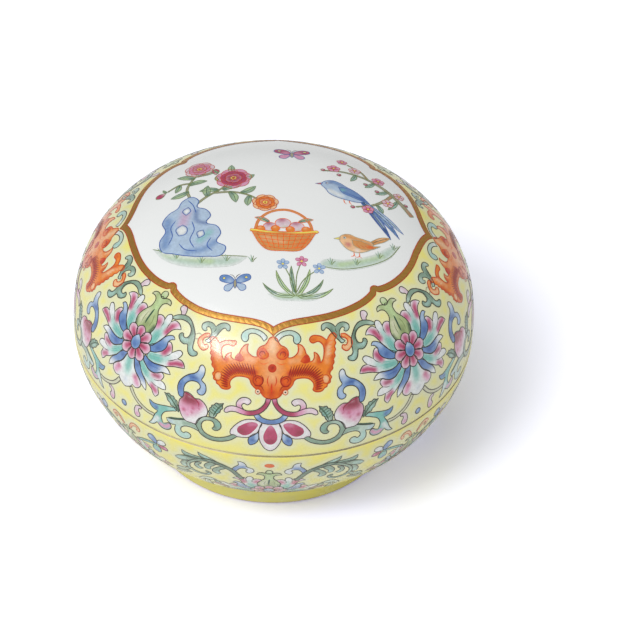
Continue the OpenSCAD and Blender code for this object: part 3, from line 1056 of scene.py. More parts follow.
def scrolls(skin):
    """Green scrolls and branches near the lid's edge."""
    vine = Motif()
    vine.shape([(7.1, 4.35), (7.9, 4.75), (8.8, 4.2), (10.2, 3.5), (11.8, 3.1), (13.2, 3.3), (14.3, 3.9),
        (14.9, 4.9), (14.9, 6), (14.3, 6.9), (13.4, 7.25), (12.6, 7.2), (12.1, 6.5), (12.2, 5.8),
        (12.6, 5.4), (12.3, 5.05), (11.6, 5), (11, 5.4), (10.6, 6.1), (10.7, 7), (11.4, 7.8), (12.5, 8.1),
        (13.8, 8.05), (14.9, 7.6), (15.8, 6.7), (16.2, 5.4), (15.7, 4.2), (15.2, 3.2), (14.4, 2.6),
        (13, 2.1), (11.4, 2.1), (9.8, 2.5), (8.4, 3.2)], "leaf",
        near("pale_leaf", [(15.3, 6.9), (13.6, 7.7)], 0.9, 0.7),
        near("dark_leaf", [(9.4, 2.7), (11.2, 2.2), (13, 2.2), (14.8, 3)], 0.6, 0.5),
        near("turquoise", (11.2, 6.6), 1.1, 0.5), near("dark_leaf", (12, 5.9), 0.7, 0.7), layer=1)
    vine.shape([(14.8, 3.2), (16.3, 3.9), (17.8, 4.1), (19, 3.8), (19.7, 3.1), (19.7, 2.3), (19.1, 1.95),
        (18.6, 2.35), (17.9, 2.35), (17.35, 1.8), (17.6, 1), (18.4, 0.5), (19.4, 0.35), (20.4, 0.65),
        (21.1, 1.4), (21.2, 2.5), (21, 3.4), (22, 3.15), (22.9, 3.5), (23.3, 4.35), (22, 4.55), (20.4, 5),
        (18.6, 5.55), (17.2, 5.4), (15.9, 5)], "pale_leaf",
        near("leaf", [(15.5, 4), (17.5, 4.9), (19, 4.6)], 1.0, 0.9),
        near("pale_turquoise", [(20.6, 3), (20.3, 1.5), (18.4, 1.4)], 0.9, 0.9),
        near("pale_blue", (22.2, 3.9), 1.1, 0.6))
    vine.line([(16, 5.2), (17.4, 5.6), (18.8, 5.7), (20.6, 5.2), (22.8, 4.6)], "dark_leaf", 0.42, 0)
    vine.fire("lid_scrolls", skin, FOUR)


def peaches(skin):
    """Peaches with their leaves and blue curls."""
    fruit = Motif()
    fruit.shape([(19.2, 6), (20, 7.6), (20.3, 9.2), (20, 10.4), (19.3, 11.2), (18.9, 12.4), (18.1, 12.5),
        (17.3, 12.2), (16.6, 11.65), (15.5, 11.75), (14.6, 11.3), (13.9, 10.4), (13.6, 9.2), (13.9, 8.2),
        (14.8, 7.6), (15.6, 6.6), (16.2, 5.5), (17.4, 5.4), (18.6, 5.5)], "pale_pink",
        near("pink", [(19.2, 8.6), (17.4, 9), (15.6, 10.2)], 2.4, 0.95),
        near("magenta", [(19, 10.4), (17.4, 10.4), (15.8, 10.8)], 1.7, 0.8),
        near("enamel_white", [(14, 9.4), (14.8, 8), (16.4, 6.4), (17.8, 5.9)], 1.4, 0.85),
        near("deep_magenta", [(18.4, 12.1), (18.5, 11), (16.9, 11.1)], 1.7),
        near("magenta", (19.1, 8.2), 0.75, 0.9), near("magenta", (16.9, 9.2), 0.8, 0.8),
        near("magenta", (17.2, 8.1), 0.6, 0.7), near("magenta", (15.6, 9.5), 0.5, 0.8),
        near("pink", (18.2, 7.2), 0.7), layer=1)
    fruit.line([(18.9, 12.3), (17.4, 11.9), (16.2, 11.3), (15.6, 10.6), (15.6, 10)], "deep_magenta", 0.28, 1)
    fruit.shape(toothed([(12.5, 8.1), (13.3, 8.5), (13.45, 9.4), (13.2, 10.3), (12.7, 11.1), (11.8, 11.8),
        (10.1, 12.1), (10.3, 10.9), (10.9, 9.8), (11.7, 8.8)]), "leaf",
        near("turquoise", (11.6, 10), 1.2, 0.8), near("pale_leaf", (12.2, 8.4), 0.9, 0.8),
        near("dark_leaf", (10.3, 11.8), 1.2, 0.6))
    fruit.line([(12.4, 8.4), (11.8, 9.8), (11, 11), (10.3, 11.8)], "dark_leaf", 0.3, 0)
    fruit.comb([(12.2, 9), (11.4, 10.4), (10.8, 11.3)], [(13.1, 9.6), (12.6, 10.9), (11.6, 11.7)], 5,
        "dark_leaf", 0.28)
    fruit.comb([(12, 9.3), (11.4, 10.4), (10.7, 11.3)], [(11.2, 9.5), (10.8, 10.2), (10.3, 11.2)], 4,
        "dark_leaf", 0.24)
    fruit.shape(toothed([(20.2, 7), (21.2, 7.5), (22.2, 8), (23, 8.9), (23.9, 10.5), (22.8, 10.7),
        (21.6, 10.4), (20.7, 9.6), (20.3, 8.4)]), "leaf", near("pale_turquoise", (22.2, 9), 1.0, 0.8),
        near("dark_leaf", (20.4, 8), 1.1, 0.8), near("turquoise", (21.4, 10), 0.8, 0.5))
    fruit.line([(20.3, 7.3), (21.4, 8.8), (22.4, 9.8), (23.5, 10.4)], "dark_leaf", 0.3, 0)
    fruit.comb([(20.8, 8), (21.6, 9.1), (22.4, 9.8)], [(20.6, 9.2), (21.4, 10.1), (22.2, 10.5)], 4,
        "dark_leaf", 0.18)
    fruit.shape([(19.4, 11.1), (20, 11), (20.6, 12.2), (20.6, 13.4), (20.2, 14.4), (19.3, 15.5), (18, 16.5),
        (16.6, 17.2), (15.9, 17.9), (15.6, 18.8), (15.1, 19.25), (14.5, 18.9), (14.4, 17.9), (14.7, 16.9),
        (15.1, 16.1), (14.3, 15.4), (14.05, 14.4), (14.3, 13.4), (15, 12.8), (15.8, 12.9), (16.1, 13.5),
        (15.5, 14.1), (15.4, 14.8), (15.9, 15.3), (16.8, 15.4), (18, 15), (18.9, 14), (19.2, 12.9),
        (19.1, 11.9)], "blue", near("deep_blue", [(20.1, 12.6), (20, 13.8)], 0.8, 0.7),
        near("deep_blue", [(17.6, 16.1), (16.2, 16.2)], 0.7, 0.8),
        near("pale_blue", [(19, 14.9), (18.2, 15.6)], 0.6, 0.6),
        near("pale_blue", [(15.6, 17.4), (15, 18.4)], 1.9, 0.9), near("enamel_white", (15, 18.6), 1.6, 0.9),
        near("pale_blue", [(14.6, 15.6), (14.8, 14.6), (15.3, 13.5)], 1.5, 0.9))
    fruit.fire("lid_peaches", skin, FOUR)


def lotus(flower):
    """Whole lotus flower, drawn about the motif's own axis."""
    flower.pair = True
    flower.shape([(2.9, 18.5), (4, 19.6), (4.9, 20.8), (5.4, 21.8), (6.2, 22.6), (7.2, 22.8), (7.8, 22.2),
        (7.2, 22), (6.7, 21.2), (6.9, 20.4), (6.6, 19.2), (5.6, 18.3), (4.6, 17.8), (3.4, 17.8)], "blue",
        near("pale_blue", [(7, 22.5), (6, 21.6)], 1.3), near("deep_blue", (5.2, 19.2), 1.3, 0.7))
    flower.shape([(2.9, 16.4), (4.2, 15.8), (5.6, 15.7), (7, 15.9), (8.2, 16.1), (9.3, 15.8), (10.3, 14.9),
        (9.3, 14.7), (8.2, 14.6), (7.2, 14), (6.2, 13.6), (5, 13.7), (3.9, 14.4), (2.9, 15.2)], "blue",
        fade("enamel_white", (6.4, 0), (9, 0)), near("deep_blue", (4.8, 14.9), 1.4, 0.8))
    flower.shape([(0.6, 14.4), (1.7, 15), (2.6, 13.6), (3.5, 12.2), (4.6, 11.1), (5.2, 10.1), (5.4, 8.7),
        (4.5, 9.2), (3.8, 9.8), (3, 10.6), (2, 11.4), (1.2, 12.4), (0.8, 13.4)], "blue",
        fade("enamel_white", (0, 11.6), (0, 9.4)), near("deep_blue", (1.7, 13.4), 1.1, 0.8))
    flower.shape([(2.4, 18.6), (2, 20.3), (1.8, 22.2), (1.2, 24.2), (1.2, 25.2), (2.2, 25.6), (3, 25.2),
        (3.2, 24.9), (3.1, 25.6), (3.3, 26.4), (3.9, 26.7), (4.5, 26.2), (4.75, 25.2), (5.3, 25.9),
        (6.1, 25.9), (7, 25.5), (7.8, 24.7), (6.8, 24.4), (6.1, 23.8), (5.7, 22.9), (5.3, 21.8), (4.8, 20.8),
        (4.1, 19.6), (3.3, 18.7)], "enamel_white",
        near("pale_turquoise", [(3, 19.2), (3.4, 21.4), (3.7, 23.6)], 1.9, 0.95),
        near("turquoise", [(3.1, 19.4), (3.4, 21.6)], 1.8, 0.95),
        near("pink", [(2, 24.6), (2.5, 23.2)], 1.34, 0.95), near("magenta", (2.3, 24), 1.34, 0.8),
        near("pink", [(5.2, 22.8), (5.5, 24.2), (6.3, 25.2)], 1.23),
        near("magenta", [(5.2, 23), (5.6, 24.6)], 1.22, 0.95))
    flower.line([(3.15, 24.9), (3.4, 24.2), (3.3, 23.4)], width=0.16)
    flower.line([(4.75, 25.2), (4.7, 24.4), (4.75, 23.6)], width=0.16)
    flower.shape([(3.4, 16.4), (3.7, 17.5), (4.6, 17.8), (5.6, 18.3), (6.5, 19.1), (6.9, 20.2), (6.6, 21.2),
        (7.2, 21.4), (7.9, 20.9), (8.4, 20.1), (8.6, 19.4), (9.4, 20.2), (10.2, 20.6), (10.9, 20.2),
        (10.8, 19.3), (10.4, 18.7), (11.4, 18.7), (12.2, 18.2), (12.8, 17.3), (11.7, 17.1), (10.6, 16.9),
        (9.4, 16.5), (8.4, 16.1), (6.8, 15.8), (5, 15.7)], "enamel_white",
        near("pale_turquoise", [(4.4, 16.8), (6.2, 17), (8, 17.8)], 1.8, 0.95),
        near("turquoise", [(4.2, 16.6), (6.2, 16.9)], 1.68, 0.95),
        near("pink", [(6.9, 18.9), (7.5, 20.2)], 1.46),
        near("magenta", [(7, 18.9), (7.4, 19.8)], 1.34, 0.95),
        near("pink", [(9.2, 17), (10.8, 17.8), (12, 17.9)], 1.06),
        near("magenta", [(9.4, 17.1), (10.8, 17.7), (11.8, 17.8)], 0.98, 0.95))
    flower.line([(8.6, 19.4), (8.2, 18.7), (7.6, 18.2)], width=0.16)
    flower.line([(10.4, 18.7), (9.6, 18.1), (8.6, 17.5)], width=0.16)
    flower.shape([(1.6, 14.4), (2.6, 15.2), (3.8, 14.5), (5, 13.8), (6.4, 13.7), (7.3, 14), (8.3, 14.5),
        (8.9, 14.1), (8.8, 13.2), (8.5, 12.7), (9.3, 12.5), (9.9, 12), (10.2, 11.1), (9.2, 10.9), (8.2, 11),
        (8.4, 10.4), (8.7, 9.4), (8, 8.4), (7.3, 9), (6.8, 9.8), (5.8, 10.4), (4.8, 11.2), (3.5, 12.3),
        (2.6, 13.5)], "enamel_white",
        near("pale_turquoise", [(2.6, 14.2), (4.4, 12.9), (6.2, 11.9)], 1.6, 0.95),
        near("turquoise", [(2.6, 14.2), (4.4, 12.8)], 1.56, 0.95),
        near("pink", [(6.4, 13.2), (8, 13.4)], 1.34),
        near("deep_magenta", [(6.6, 13.3), (7.6, 13.3)], 0.9, 0.8),
        near("pink", [(6.6, 10.6), (7.9, 9.6)], 1.23), near("magenta", [(6.8, 10.5), (7.7, 9.9)], 0.98, 0.8))
    flower.line([(8.5, 12.7), (7.6, 12.3), (6.8, 12.2)], width=0.16)
    flower.line([(8.2, 11), (7.2, 11.1), (6.2, 11.5)], width=0.16)
    for roots, tips in (([(2.8, 19.2), (3.8, 19.4)], [(3.2, 22.6), (4.2, 22.4)]),
                        ([(3.9, 16.3), (4.2, 17.3)], [(7.4, 16.6), (7.8, 18.2)]),
                        ([(2.4, 14.6), (2.8, 13.6)], [(5.6, 12.9), (5.4, 11.9)])):
        flower.comb(roots, tips, 3, "deep_turquoise", 0.12)
    flower.comb([(3.8, 15.4), (4, 14.9)], [(8, 15.6), (7.6, 14.9)], 2, "deep_blue", 0.12)
    flower.pair = False
    about = flower.about
    flower.shape(flower.whole(about([(0, 14.4), (1.1, 14.2), (1.6, 13), (2.3, 11.8), (3.4, 10.9), (4.2, 10),
        (4.4, 9.1), (3.8, 8.2), (2.8, 7.9), (2.1, 8.2), (1.8, 7.6), (1, 7), (0, 6.6)])), "enamel_white",
        near("pale_turquoise", about([(0, 13.6), (0, 10.6)]), 1.9),
        near("turquoise", about([(0, 13.4), (0, 11.6)]), 1.44, 0.9),
        *flower.twice("pink", about([(2.6, 10.2), (3.3, 9.1)]), 1.46),
        *flower.twice("magenta", about([(2.7, 10.4)]), 1.22, 0.6),
        near("pale_blue", about([(0, 8.4)]), 1.2, 0.4))
    flower.shape(flower.whole(about([(0, 29), (0.5, 28.8), (0.9, 29), (1.7, 29.2), (2.6, 28.8), (2.9, 28.15),
        (2, 28.2), (1.2, 27.7), (1, 26.8), (1.1, 26), (1.6, 25.2), (2.3, 24), (2.7, 22.7), (2.5, 21.4),
        (1.8, 20.4), (0, 19.8)])), "calyx",
        near("pale_calyx", about([(-1.5, 22.4), (-0.9, 24.6)]), 1.5, 0.9),
        near("fresh_leaf", about([(0, 28.4), (0.2, 26)]), 1.5, 0.95),
        *flower.twice("pale_calyx", about([(2.3, 28.5)]), 0.8, 0.9),
        near("olive", about([(0, 20.2), (0.3, 22.4)]), 1.6, 0.55),
        near("dark_leaf", about([(2.5, 22.6), (2.1, 21.2)]), 0.8, 0.95),
        near("dark_leaf", about([(-2.5, 22.2), (-2.1, 21)]), 0.6, 0.8), layer=0.8)
    flower.shape(flower.whole(about([(0, 30.4), (0.65, 30), (0.75, 29.2), (0.45, 28.7), (0, 28.6)])),
        "fresh_leaf", near("pale_calyx", about([(0, 29.9)]), 0.8, 0.9), layer=0.8)
    flower.line(about([(0.1, 25.8), (0, 24.6), (-0.1, 23.2), (-0.1, 22.2)]), "dark_leaf", 0.4, 0.8)
    flower.line(about([(-0.8, 24.6), (-1.1, 23.2), (-1, 21.8)]), "olive", 0.14, 0.8)
    flower.line(about([(0.9, 24.8), (1.3, 23.4), (1.2, 21.8)]), "olive", 0.14, 0.8)
    heart = np.array([flower.axis, 17.6])
    for k in range(8):
        out = np.array([math.cos(math.radians(45 * k)), math.sin(math.radians(45 * k))])
        tip = 3.9 if k % 4 == 2 else 4.3
        flower.shape(petal(heart, 45 * k, 0.8, tip, 2.45), "pale_pink",
            near("pink", [heart + out * 1.4, heart + out * 3.2], 1.3, 0.9),
            near("magenta", [heart + out * 1.2, heart + out * 2.7], 1.15, 0.95),
            near("deep_magenta", heart + out * 1.7, 0.8, 0.6), layer=1.5, sharp=50)
    flower.shape(about([(0, 19.5), (0.8, 18.8), (1.25, 17.8), (1.1, 16.8), (0.5, 16.2), (-0.5, 16.2),
        (-1.1, 16.8), (-1.25, 17.8), (-0.8, 18.8)]), "blue", near("pale_blue", about([(0, 19)]), 1.3),
        near("deep_blue", about([(-0.2, 17.1)]), 0.9, 0.6), rim("pale_blue", 0.35, 0.7), layer=2.2, sharp=60)


def lotuses(skin):
    """Lotus flowers between the bats."""
    flower = Motif(shift=(0.55, 0))
    lotus(flower)
    flower.fire("lid_lotuses", skin, BETWEEN)


def leaf_scrolls(skin):
    """Leaf scrolls beside and below the lotus flowers."""
    leaf = Motif(shift=(0.4, 0))
    leaf.shape([(5.9, 27.5), (5.5, 28.2), (5, 28.5), (4.7, 29.1), (5, 29.7), (5.7, 29.8), (6.2, 29.3),
        (6.5, 28.6), (6.6, 27.9)], "pale_pink", near("enamel_white", (5, 28.9), 0.9, 0.6))
    leaf.shape([(4.4, 26.4), (5.3, 27.3), (6.4, 27.8), (7.6, 27.85), (8.8, 27.3), (9.8, 26.5), (10.6, 25.7),
        (11.2, 25), (11.7, 24.1), (12.1, 23), (12.5, 22), (13.1, 21.6), (13.8, 21.5), (14.1, 21),
        (13.6, 20.5), (12.8, 20.4), (12, 20.9), (11.4, 21.8), (11, 22.4), (10.2, 22.2), (9.4, 22.4),
        (8.7, 22.9), (8.2, 23.6), (8.4, 24.15), (8.9, 24.2), (9.1, 23.8), (9.6, 23.5), (10.2, 23.8),
        (10.3, 24.4), (10.1, 25.2), (9.5, 26), (8.6, 26.6), (7.6, 26.8), (6.5, 26.7), (5.7, 26.3),
        (5, 26.1)], "leaf", near("pale_leaf", (5.2, 26.7), 1.2, 0.8),
        near("pale_turquoise", [(10.4, 23.2), (9.2, 23.2)], 0.7, 0.8),
        near("pale_turquoise", [(12, 21.9), (13.2, 20.9)], 0.9, 0.8),
        near("dark_leaf", [(9.4, 26.1), (10.2, 25), (10.2, 23.9)], 0.9, 0.8), layer=1)
    leaf.line([(10.6, 24.6), (11, 23.4), (11.4, 22.4), (12.2, 21.4)], "leaf", 0.16, 1)
    leaf.line([(11.3, 25), (11.9, 25.4), (12.6, 25.3)], "brown", 0.3, 0)
    leaf.line([(11.6, 24.1), (12.3, 24.2), (12.9, 24.6)], "brown", 0.3, 0)
    leaf.shape([(13.6, 7.9), (12.4, 7.6), (11, 7.3), (9.5, 6.9), (8, 6.7), (6.8, 7.1), (7, 6.3), (7.5, 5.6),
        (8.4, 5.2), (9.2, 5.1), (8.8, 4.4), (8.3, 3.5), (8, 2.5), (7.6, 1.6), (6.9, 0.7), (7.8, 0.8),
        (8.6, 1.3), (9.1, 2), (9.6, 1.5), (10.3, 1), (11.2, 0.9), (12.2, 1.3), (12.7, 2), (12.6, 2.8),
        (12.1, 3.1), (11.4, 2.7), (10.7, 2.4), (10.4, 3), (10.2, 3.8), (10.4, 4.8), (11, 5.7), (12, 6.3),
        (13, 6.8), (13.7, 7.1)], "turquoise", near("blue", [(7.4, 6.4), (8.6, 6)], 1.2),
        near("deep_blue", (8.8, 5.8), 0.8, 0.7),
        near("enamel_white", [(7.6, 1.3), (8.6, 2.2), (9.2, 3.2)], 1.1, 0.9),
        near("pink", [(10, 1.8), (11.4, 1.7), (12.2, 2.5)], 0.9),
        near("pale_turquoise", [(12, 7), (13.4, 7.5)], 0.9, 0.7))
    leaf.shape(strip([(1.4, 7.4), (2.2, 6.2), (3.4, 5), (5, 4.1), (6.8, 3.6), (8.2, 3.6)],
        [0.9, 0.8, 0.8, 0.7]), "pale_calyx", rim("brown", 0.4, 0.5))
    leaf.shape([(3.3, 3.4), (2.9, 2.6), (2.8, 1.4), (3.1, 0.6), (3.7, 0.4), (4.3, 0.8), (4.4, 1.5), (4, 2.2),
        (4.1, 2.9), (4.8, 3.2), (4.7, 3.7), (4, 3.7)], "pale_pink", near("pink", (3.5, 1.2), 0.9))
    leaf.pair = False
    leaf.shape(ring((-0.4, 1.9), 0.75), "blue", near("pale_blue", (-0.5, 2.1), 0.6))
    leaf.fire("lid_leaf_scrolls", skin, BETWEEN)


class SEALBOX_OT_lid_ornament(bpy.types.Operator):
    """Paint the bats, flowers, fruit, ribbons and scrolls round the lid"""
    bl_idname = "seal_box.lid_ornament"
    bl_label = "Lid's ornament"

    def execute(self, context):
        skin = lid_skin()
        for paint in (bats, curls, ribbons, scrolls, peaches, lotuses, leaf_scrolls):
            paint(skin)
        return {"FINISHED"}


def frond(motif, base, tip, width, bend, shade="leaf", light="fresh_leaf", layer=0):
    """Pointed leaf from its base to its tip, bent to its left, with a midrib."""
    base, tip = np.array(base, float), np.array(tip, float)
    way = tip - base
    side = np.array([-way[1], way[0]]) / np.hypot(*way)

    def at(along, across):
        return base + way * along + side * (across * width + 4 * bend * along * (1 - along))

    motif.shape([at(0, 0.12), at(0.25, 0.42), at(0.55, 0.5), at(0.82, 0.28), at(1, 0), at(0.86, -0.24),
        at(0.6, -0.48), at(0.3, -0.44), at(0, -0.12)], shade,
        near(light, [at(0.4, 0.2), at(0.7, 0.1)], width * 0.45, 0.85),
        near("dark_leaf", [at(0, 0)], width * 0.8, 0.6), layer=layer)
    motif.line([at(0.05, 0), at(0.4, 0.03), at(0.85, 0)], "dark_leaf", 0.14, layer)


def sprigs(skin):
    """Small blue and white curls over the bowl's large flowers."""
    sprig = Motif(width=0.18)
    sprig.shape([(6.9, -3), (6.2, -3), (5.5, -3.3), (5.1, -3.9), (4.9, -4.6), (4.3, -5), (3.6, -5.4),
        (3.3, -6.2), (3.7, -7), (4.3, -7.3), (4.9, -7), (5, -6.3), (4.6, -5.9), (5.3, -5.5), (6.2, -5.6),
        (6.9, -6.5), (7.3, -7.4), (8, -6.7), (7.8, -5.7), (7.2, -4.9), (6.7, -4.2), (6.7, -3.6)],
        "enamel_white", near("blue", [(7.6, -6.8), (7.2, -5.6), (5.6, -5)], 1.5, 0.95),
        near("pale_blue", (5.8, -3.6), 1.0, 0.5), near("pale_blue", (4.1, -6.4), 0.8, 0.4))
    sprig.fire("root_curls", skin, FOUR)


def plumes(skin):
    """Feathery leaves on both sides of the large flowers, and a red dot over each."""
    plume = Motif(width=0.18)
    for leaf in ([(10.5, -5.6), (11.8, -4.3), (13.6, -3.4), (14.9, -3), (15.8, -2.5), (15.4, -3.7),
                  (14.1, -4.4), (12.7, -5.2), (11.4, -5.8)],
                 [(13.6, -5), (15.4, -4.2), (17.3, -4.2), (18.4, -4), (19.6, -3.5), (19.4, -4.7),
                  (18.3, -5.5), (16.6, -5.6), (15, -5.7)],
                 [(15.5, -5.9), (17.1, -5.5), (19, -5.7), (20.5, -6.4), (21.3, -7.4), (20.6, -8.1),
                  (18.8, -7.8), (17.2, -7.1), (16, -6.8)],
                 [(16.9, -6.9), (18.1, -7.2), (19.4, -8.3), (20, -9.9), (19.6, -11.3), (18.5, -11.1),
                  (18.2, -10.1), (18.7, -9.4), (17.6, -8.2)],
                 [(11.4, -5.2), (12.7, -5.2), (13.9, -6.3), (14.3, -7.7), (13.7, -8.7), (12.7, -8.5),
                  (12.9, -7.5), (12.1, -6.5)],
                 [(9.2, -6.2), (10.3, -6.1), (11.5, -7), (12.4, -8.3), (12.3, -9.5), (11.3, -10),
                  (10.5, -9.5), (11, -8.7), (10.6, -7.7), (9.7, -7)],
                 [(14.9, -6.3), (16, -6.8), (16.6, -8), (16.3, -9.2), (15.4, -9.7), (14.5, -9),
                  (15.3, -8.6), (15.7, -7.9), (15.2, -7.2)],
                 [(17.1, -10.6), (18.1, -11), (19.1, -12.2), (20.7, -12.8), (21, -14.6), (19.8, -15),
                  (18.2, -12.9)]):
        root, tip = np.array(leaf[0]), np.array(leaf[len(leaf) // 2])
        plume.shape(leaf, "leaf", near("pale_turquoise", [root * 0.4 + tip * 0.6, tip], 0.9, 0.9),
            near("dark_leaf", root, 1.5, 0.5))
    plume.shape(strip([(5.8, -10.8), (6.9, -8.9), (8.1, -7.1), (9.7, -5.9), (11.4, -5.1), (13.2, -4.8),
        (15, -5.3), (16.7, -6.5), (18, -8.4), (18, -10.4), (16.9, -11.8), (15.3, -12.4), (13.7, -11.9),
        (13, -10.8), (13.8, -10.2)], [1.0, 1.1, 0.9, 0.8, 0.8, 0.7, 0.6]), "leaf",
        near("dark_leaf", [(5.8, -10.8), (7.4, -8), (9.7, -5.9), (12.4, -5)], 0.8, 0.75),
        near("pale_turquoise", [(18, -10), (16.6, -12), (13.4, -11.4)], 0.9, 0.8), layer=1)
    plume.line([(9.2, -5.8), (11, -4.8), (13.2, -4.3), (15, -4.6)], "dark_leaf", 0.3, 1)
    plume.line([(13.4, -5), (15.6, -5), (18.2, -5.2), (20, -6)], "dark_leaf", 0.26, 1)
    plume.shape([(11.5, -14.8), (12.6, -13.8), (14, -13.9), (15.2, -15.2), (15.5, -17), (14.6, -17.3),
        (14.4, -15.8), (13.1, -15.6)], "pale_leaf", near("enamel_white", (15, -16.4), 1.2, 0.8))
    for base, tip in (((11.8, -14.6), (8.6, -18.8)), ((13.6, -15.6), (12.4, -21.2)),
                      ((17.4, -13.8), (21.4, -17.6))):
        frond(plume, base, tip, 1.5, 0.5, "pale_leaf", "enamel_white")
    plume.pair = False
    plume.shape(ring((0, -3.75), 1.1, 0.66), "mid_iron", near("iron", (-0.2, -3.6), 0.7, 0.8), ink="")
    plume.fire("root_plumes", skin, FOUR)


def clovers(skin):
    """Lobed leaves and red hooks over the small flowers."""
    lobe = Motif(width=0.18)
    lobe.shape([(8.3, -5.9), (7.4, -5.2), (6.6, -4.2), (6.9, -3.1), (7.8, -2.7), (8.6, -3.4), (8.9, -4.6)],
        "blue", near("pale_blue", (7.3, -3.6), 1.0))
    lobe.shape([(8.7, -5.6), (9, -4.4), (9.9, -3.5), (11, -3.6), (11.2, -4.4), (10.3, -5.2)], "enamel_white",
        near("pale_blue", (9.2, -5), 0.9))
    lobe.shape([(8.9, -5.9), (10, -5.4), (11.1, -5.7), (11.2, -6.6), (10.2, -7), (9.2, -6.7)], "magenta",
        near("pink", (10.9, -6.2), 0.9))
    lobe.shape([(8.4, -6.2), (9.1, -7.2), (8.9, -8.6), (7.9, -9.4), (7, -9), (6.9, -7.8), (7.5, -6.7)],
        "turquoise", near("blue", (7.7, -8.6), 1.1))
    lobe.shape(strip([(2.2, -8.4), (4.2, -7.2), (6.2, -6.4), (8.4, -6)], [0.6, 0.8, 0.6]), "turquoise",
        near("dark_leaf", (2.4, -8.2), 1.0, 0.6), layer=1)
    lobe.ink = "bat_edge"
    lobe.shape(strip([(1, -5.4), (1.5, -4.2), (2.4, -3.2), (3.4, -3.1), (3.9, -3.9), (3.4, -4.6)],
        [0.5, 0.8, 0.7]), "pale_iron", near("iron", (1.3, -4.6), 1.2, 0.6), layer=1)
    lobe.fire("root_clovers", skin, BETWEEN)


class SEALBOX_OT_bowl_ornament(bpy.types.Operator):
    """Paint the flowers and feathery leaves round the bowl"""
    bl_idname = "seal_box.bowl_ornament"
    bl_label = "Bowl's ornament"

    def execute(self, context):
        skin = bowl_skin()
        for name, turns, shift, size in (("root_lotuses", FOUR, (0.52, -34.4), 0.95),
                                         ("root_small_lotuses", BETWEEN, (0.4, -27.2), 0.72)):
            flower = Motif(shift, size)
            lotus(flower)
            flower.fire(name, skin, turns)
        for paint in (sprigs, plumes, clovers):
            paint(skin)
        return {"FINISHED"}


class Crown(Skin):
    """The same wall seen from above: drawings lie flat over the crown, right and back."""

    def wrap(self, flat, lift, turn):
        turns = np.arctan2(flat[:, 0], -flat[:, 1])
        return self.place(turns, self.top - np.hypot(flat[:, 0], flat[:, 1]), lift)


def blossom(motif, centre, size, shade, light, heart):
    """Peony: three rings of petals about yellow stamens."""
    centre = np.array(centre, float)
    for count, turn, reach, wide, layer, tone, base in (
            (7, 10, 1.0, 0.95, 0, light, shade), (6, 40, 0.74, 0.8, 1, shade, heart),
            (5, 0, 0.46, 0.55, 2, light, heart)):
        for k in range(count):
            angle = turn + 360 * k / count
            out = np.array([math.cos(math.radians(angle)), math.sin(math.radians(angle))])
            motif.shape(petal(centre, angle, 0, size * reach, size * wide), tone,
                near(base, [centre, centre + out * size * reach * 0.45], size * 0.42, 0.9), layer=layer,
                sharp=60, width=0.13, ink="bat_edge")
    for at in ring(centre, size * 0.13, count=7):
        motif.shape(ring(at, 0.16, count=7), "deep_yellow", layer=3, ink="", swell=0)


def small_flower(motif, centre, turns, reach, width, light, tone, spread, ink, line_width):
    """Open flower of five petals, deeper towards its middle."""
    for turn in turns:
        motif.shape(petal(centre, turn, 0.1, reach, width), light, near(tone, centre, spread, 0.95), layer=1,
            sharp=60, width=line_width, ink=ink)


def earth(motif):
    """Washes of ground with moss dots and tufts of grass."""
    motif.shape([(-27, -11), (-23, -13.4), (-18, -15.2), (-12, -15.8), (-6, -16.4), (-8, -18.2),
        (-14, -18.8), (-20, -17.6), (-24.6, -14.6)], "pale_leaf",
        near("fresh_leaf", [(-24, -13.4), (-14, -17)], 1.6, 0.7), rim("enamel_white", 1.3, 0.8), ink="")
    motif.shape([(9, -18.2), (14, -18.6), (20, -16.4), (25, -12.4), (27.4, -7.6), (25.4, -8.6), (21, -12.6),
        (15, -15.4), (10, -16.4)], "pale_leaf", near("fresh_leaf", [(14, -17), (23, -12.4)], 1.4, 0.7),
        rim("enamel_white", 1.1, 0.8), ink="")
    motif.line([(-27, -11), (-23, -13.2), (-18, -14.9), (-12, -15.6), (-6, -16.2)], "olive", 0.2)
    motif.line([(9, -18), (14, -18.2), (20, -16), (25, -12), (27.4, -7.6)], "olive", 0.2)
    for x, y in ((-25, -12.6), (-21.5, -15.2), (-16, -17.4), (-10.5, -17.4), (12, -17.4), (17.5, -16.4),
                 (22.5, -13.2), (25.8, -9.6), (-5, -17.8)):
        for lean, tall in ((-0.9, 1.5), (-0.3, 2.1), (0.3, 1.8), (1, 1.3)):
            motif.line([(x + lean * 0.2, y), (x + lean * 0.5, y + tall * 0.6), (x + lean, y + tall)],
                "leaf" if lean < 0 else "olive", 0.2)
    for k, (x, y) in enumerate([(-23.4, -14.6), (-19, -16.2), (-13, -17), (-8.4, -17.6), (15, -17.4),
                                (20, -14.8), (24.4, -11.4)]):
        motif.shape(ring((x, y), 0.28 + 0.06 * (k % 3), 0.7, 8), "dark_leaf", ink="")


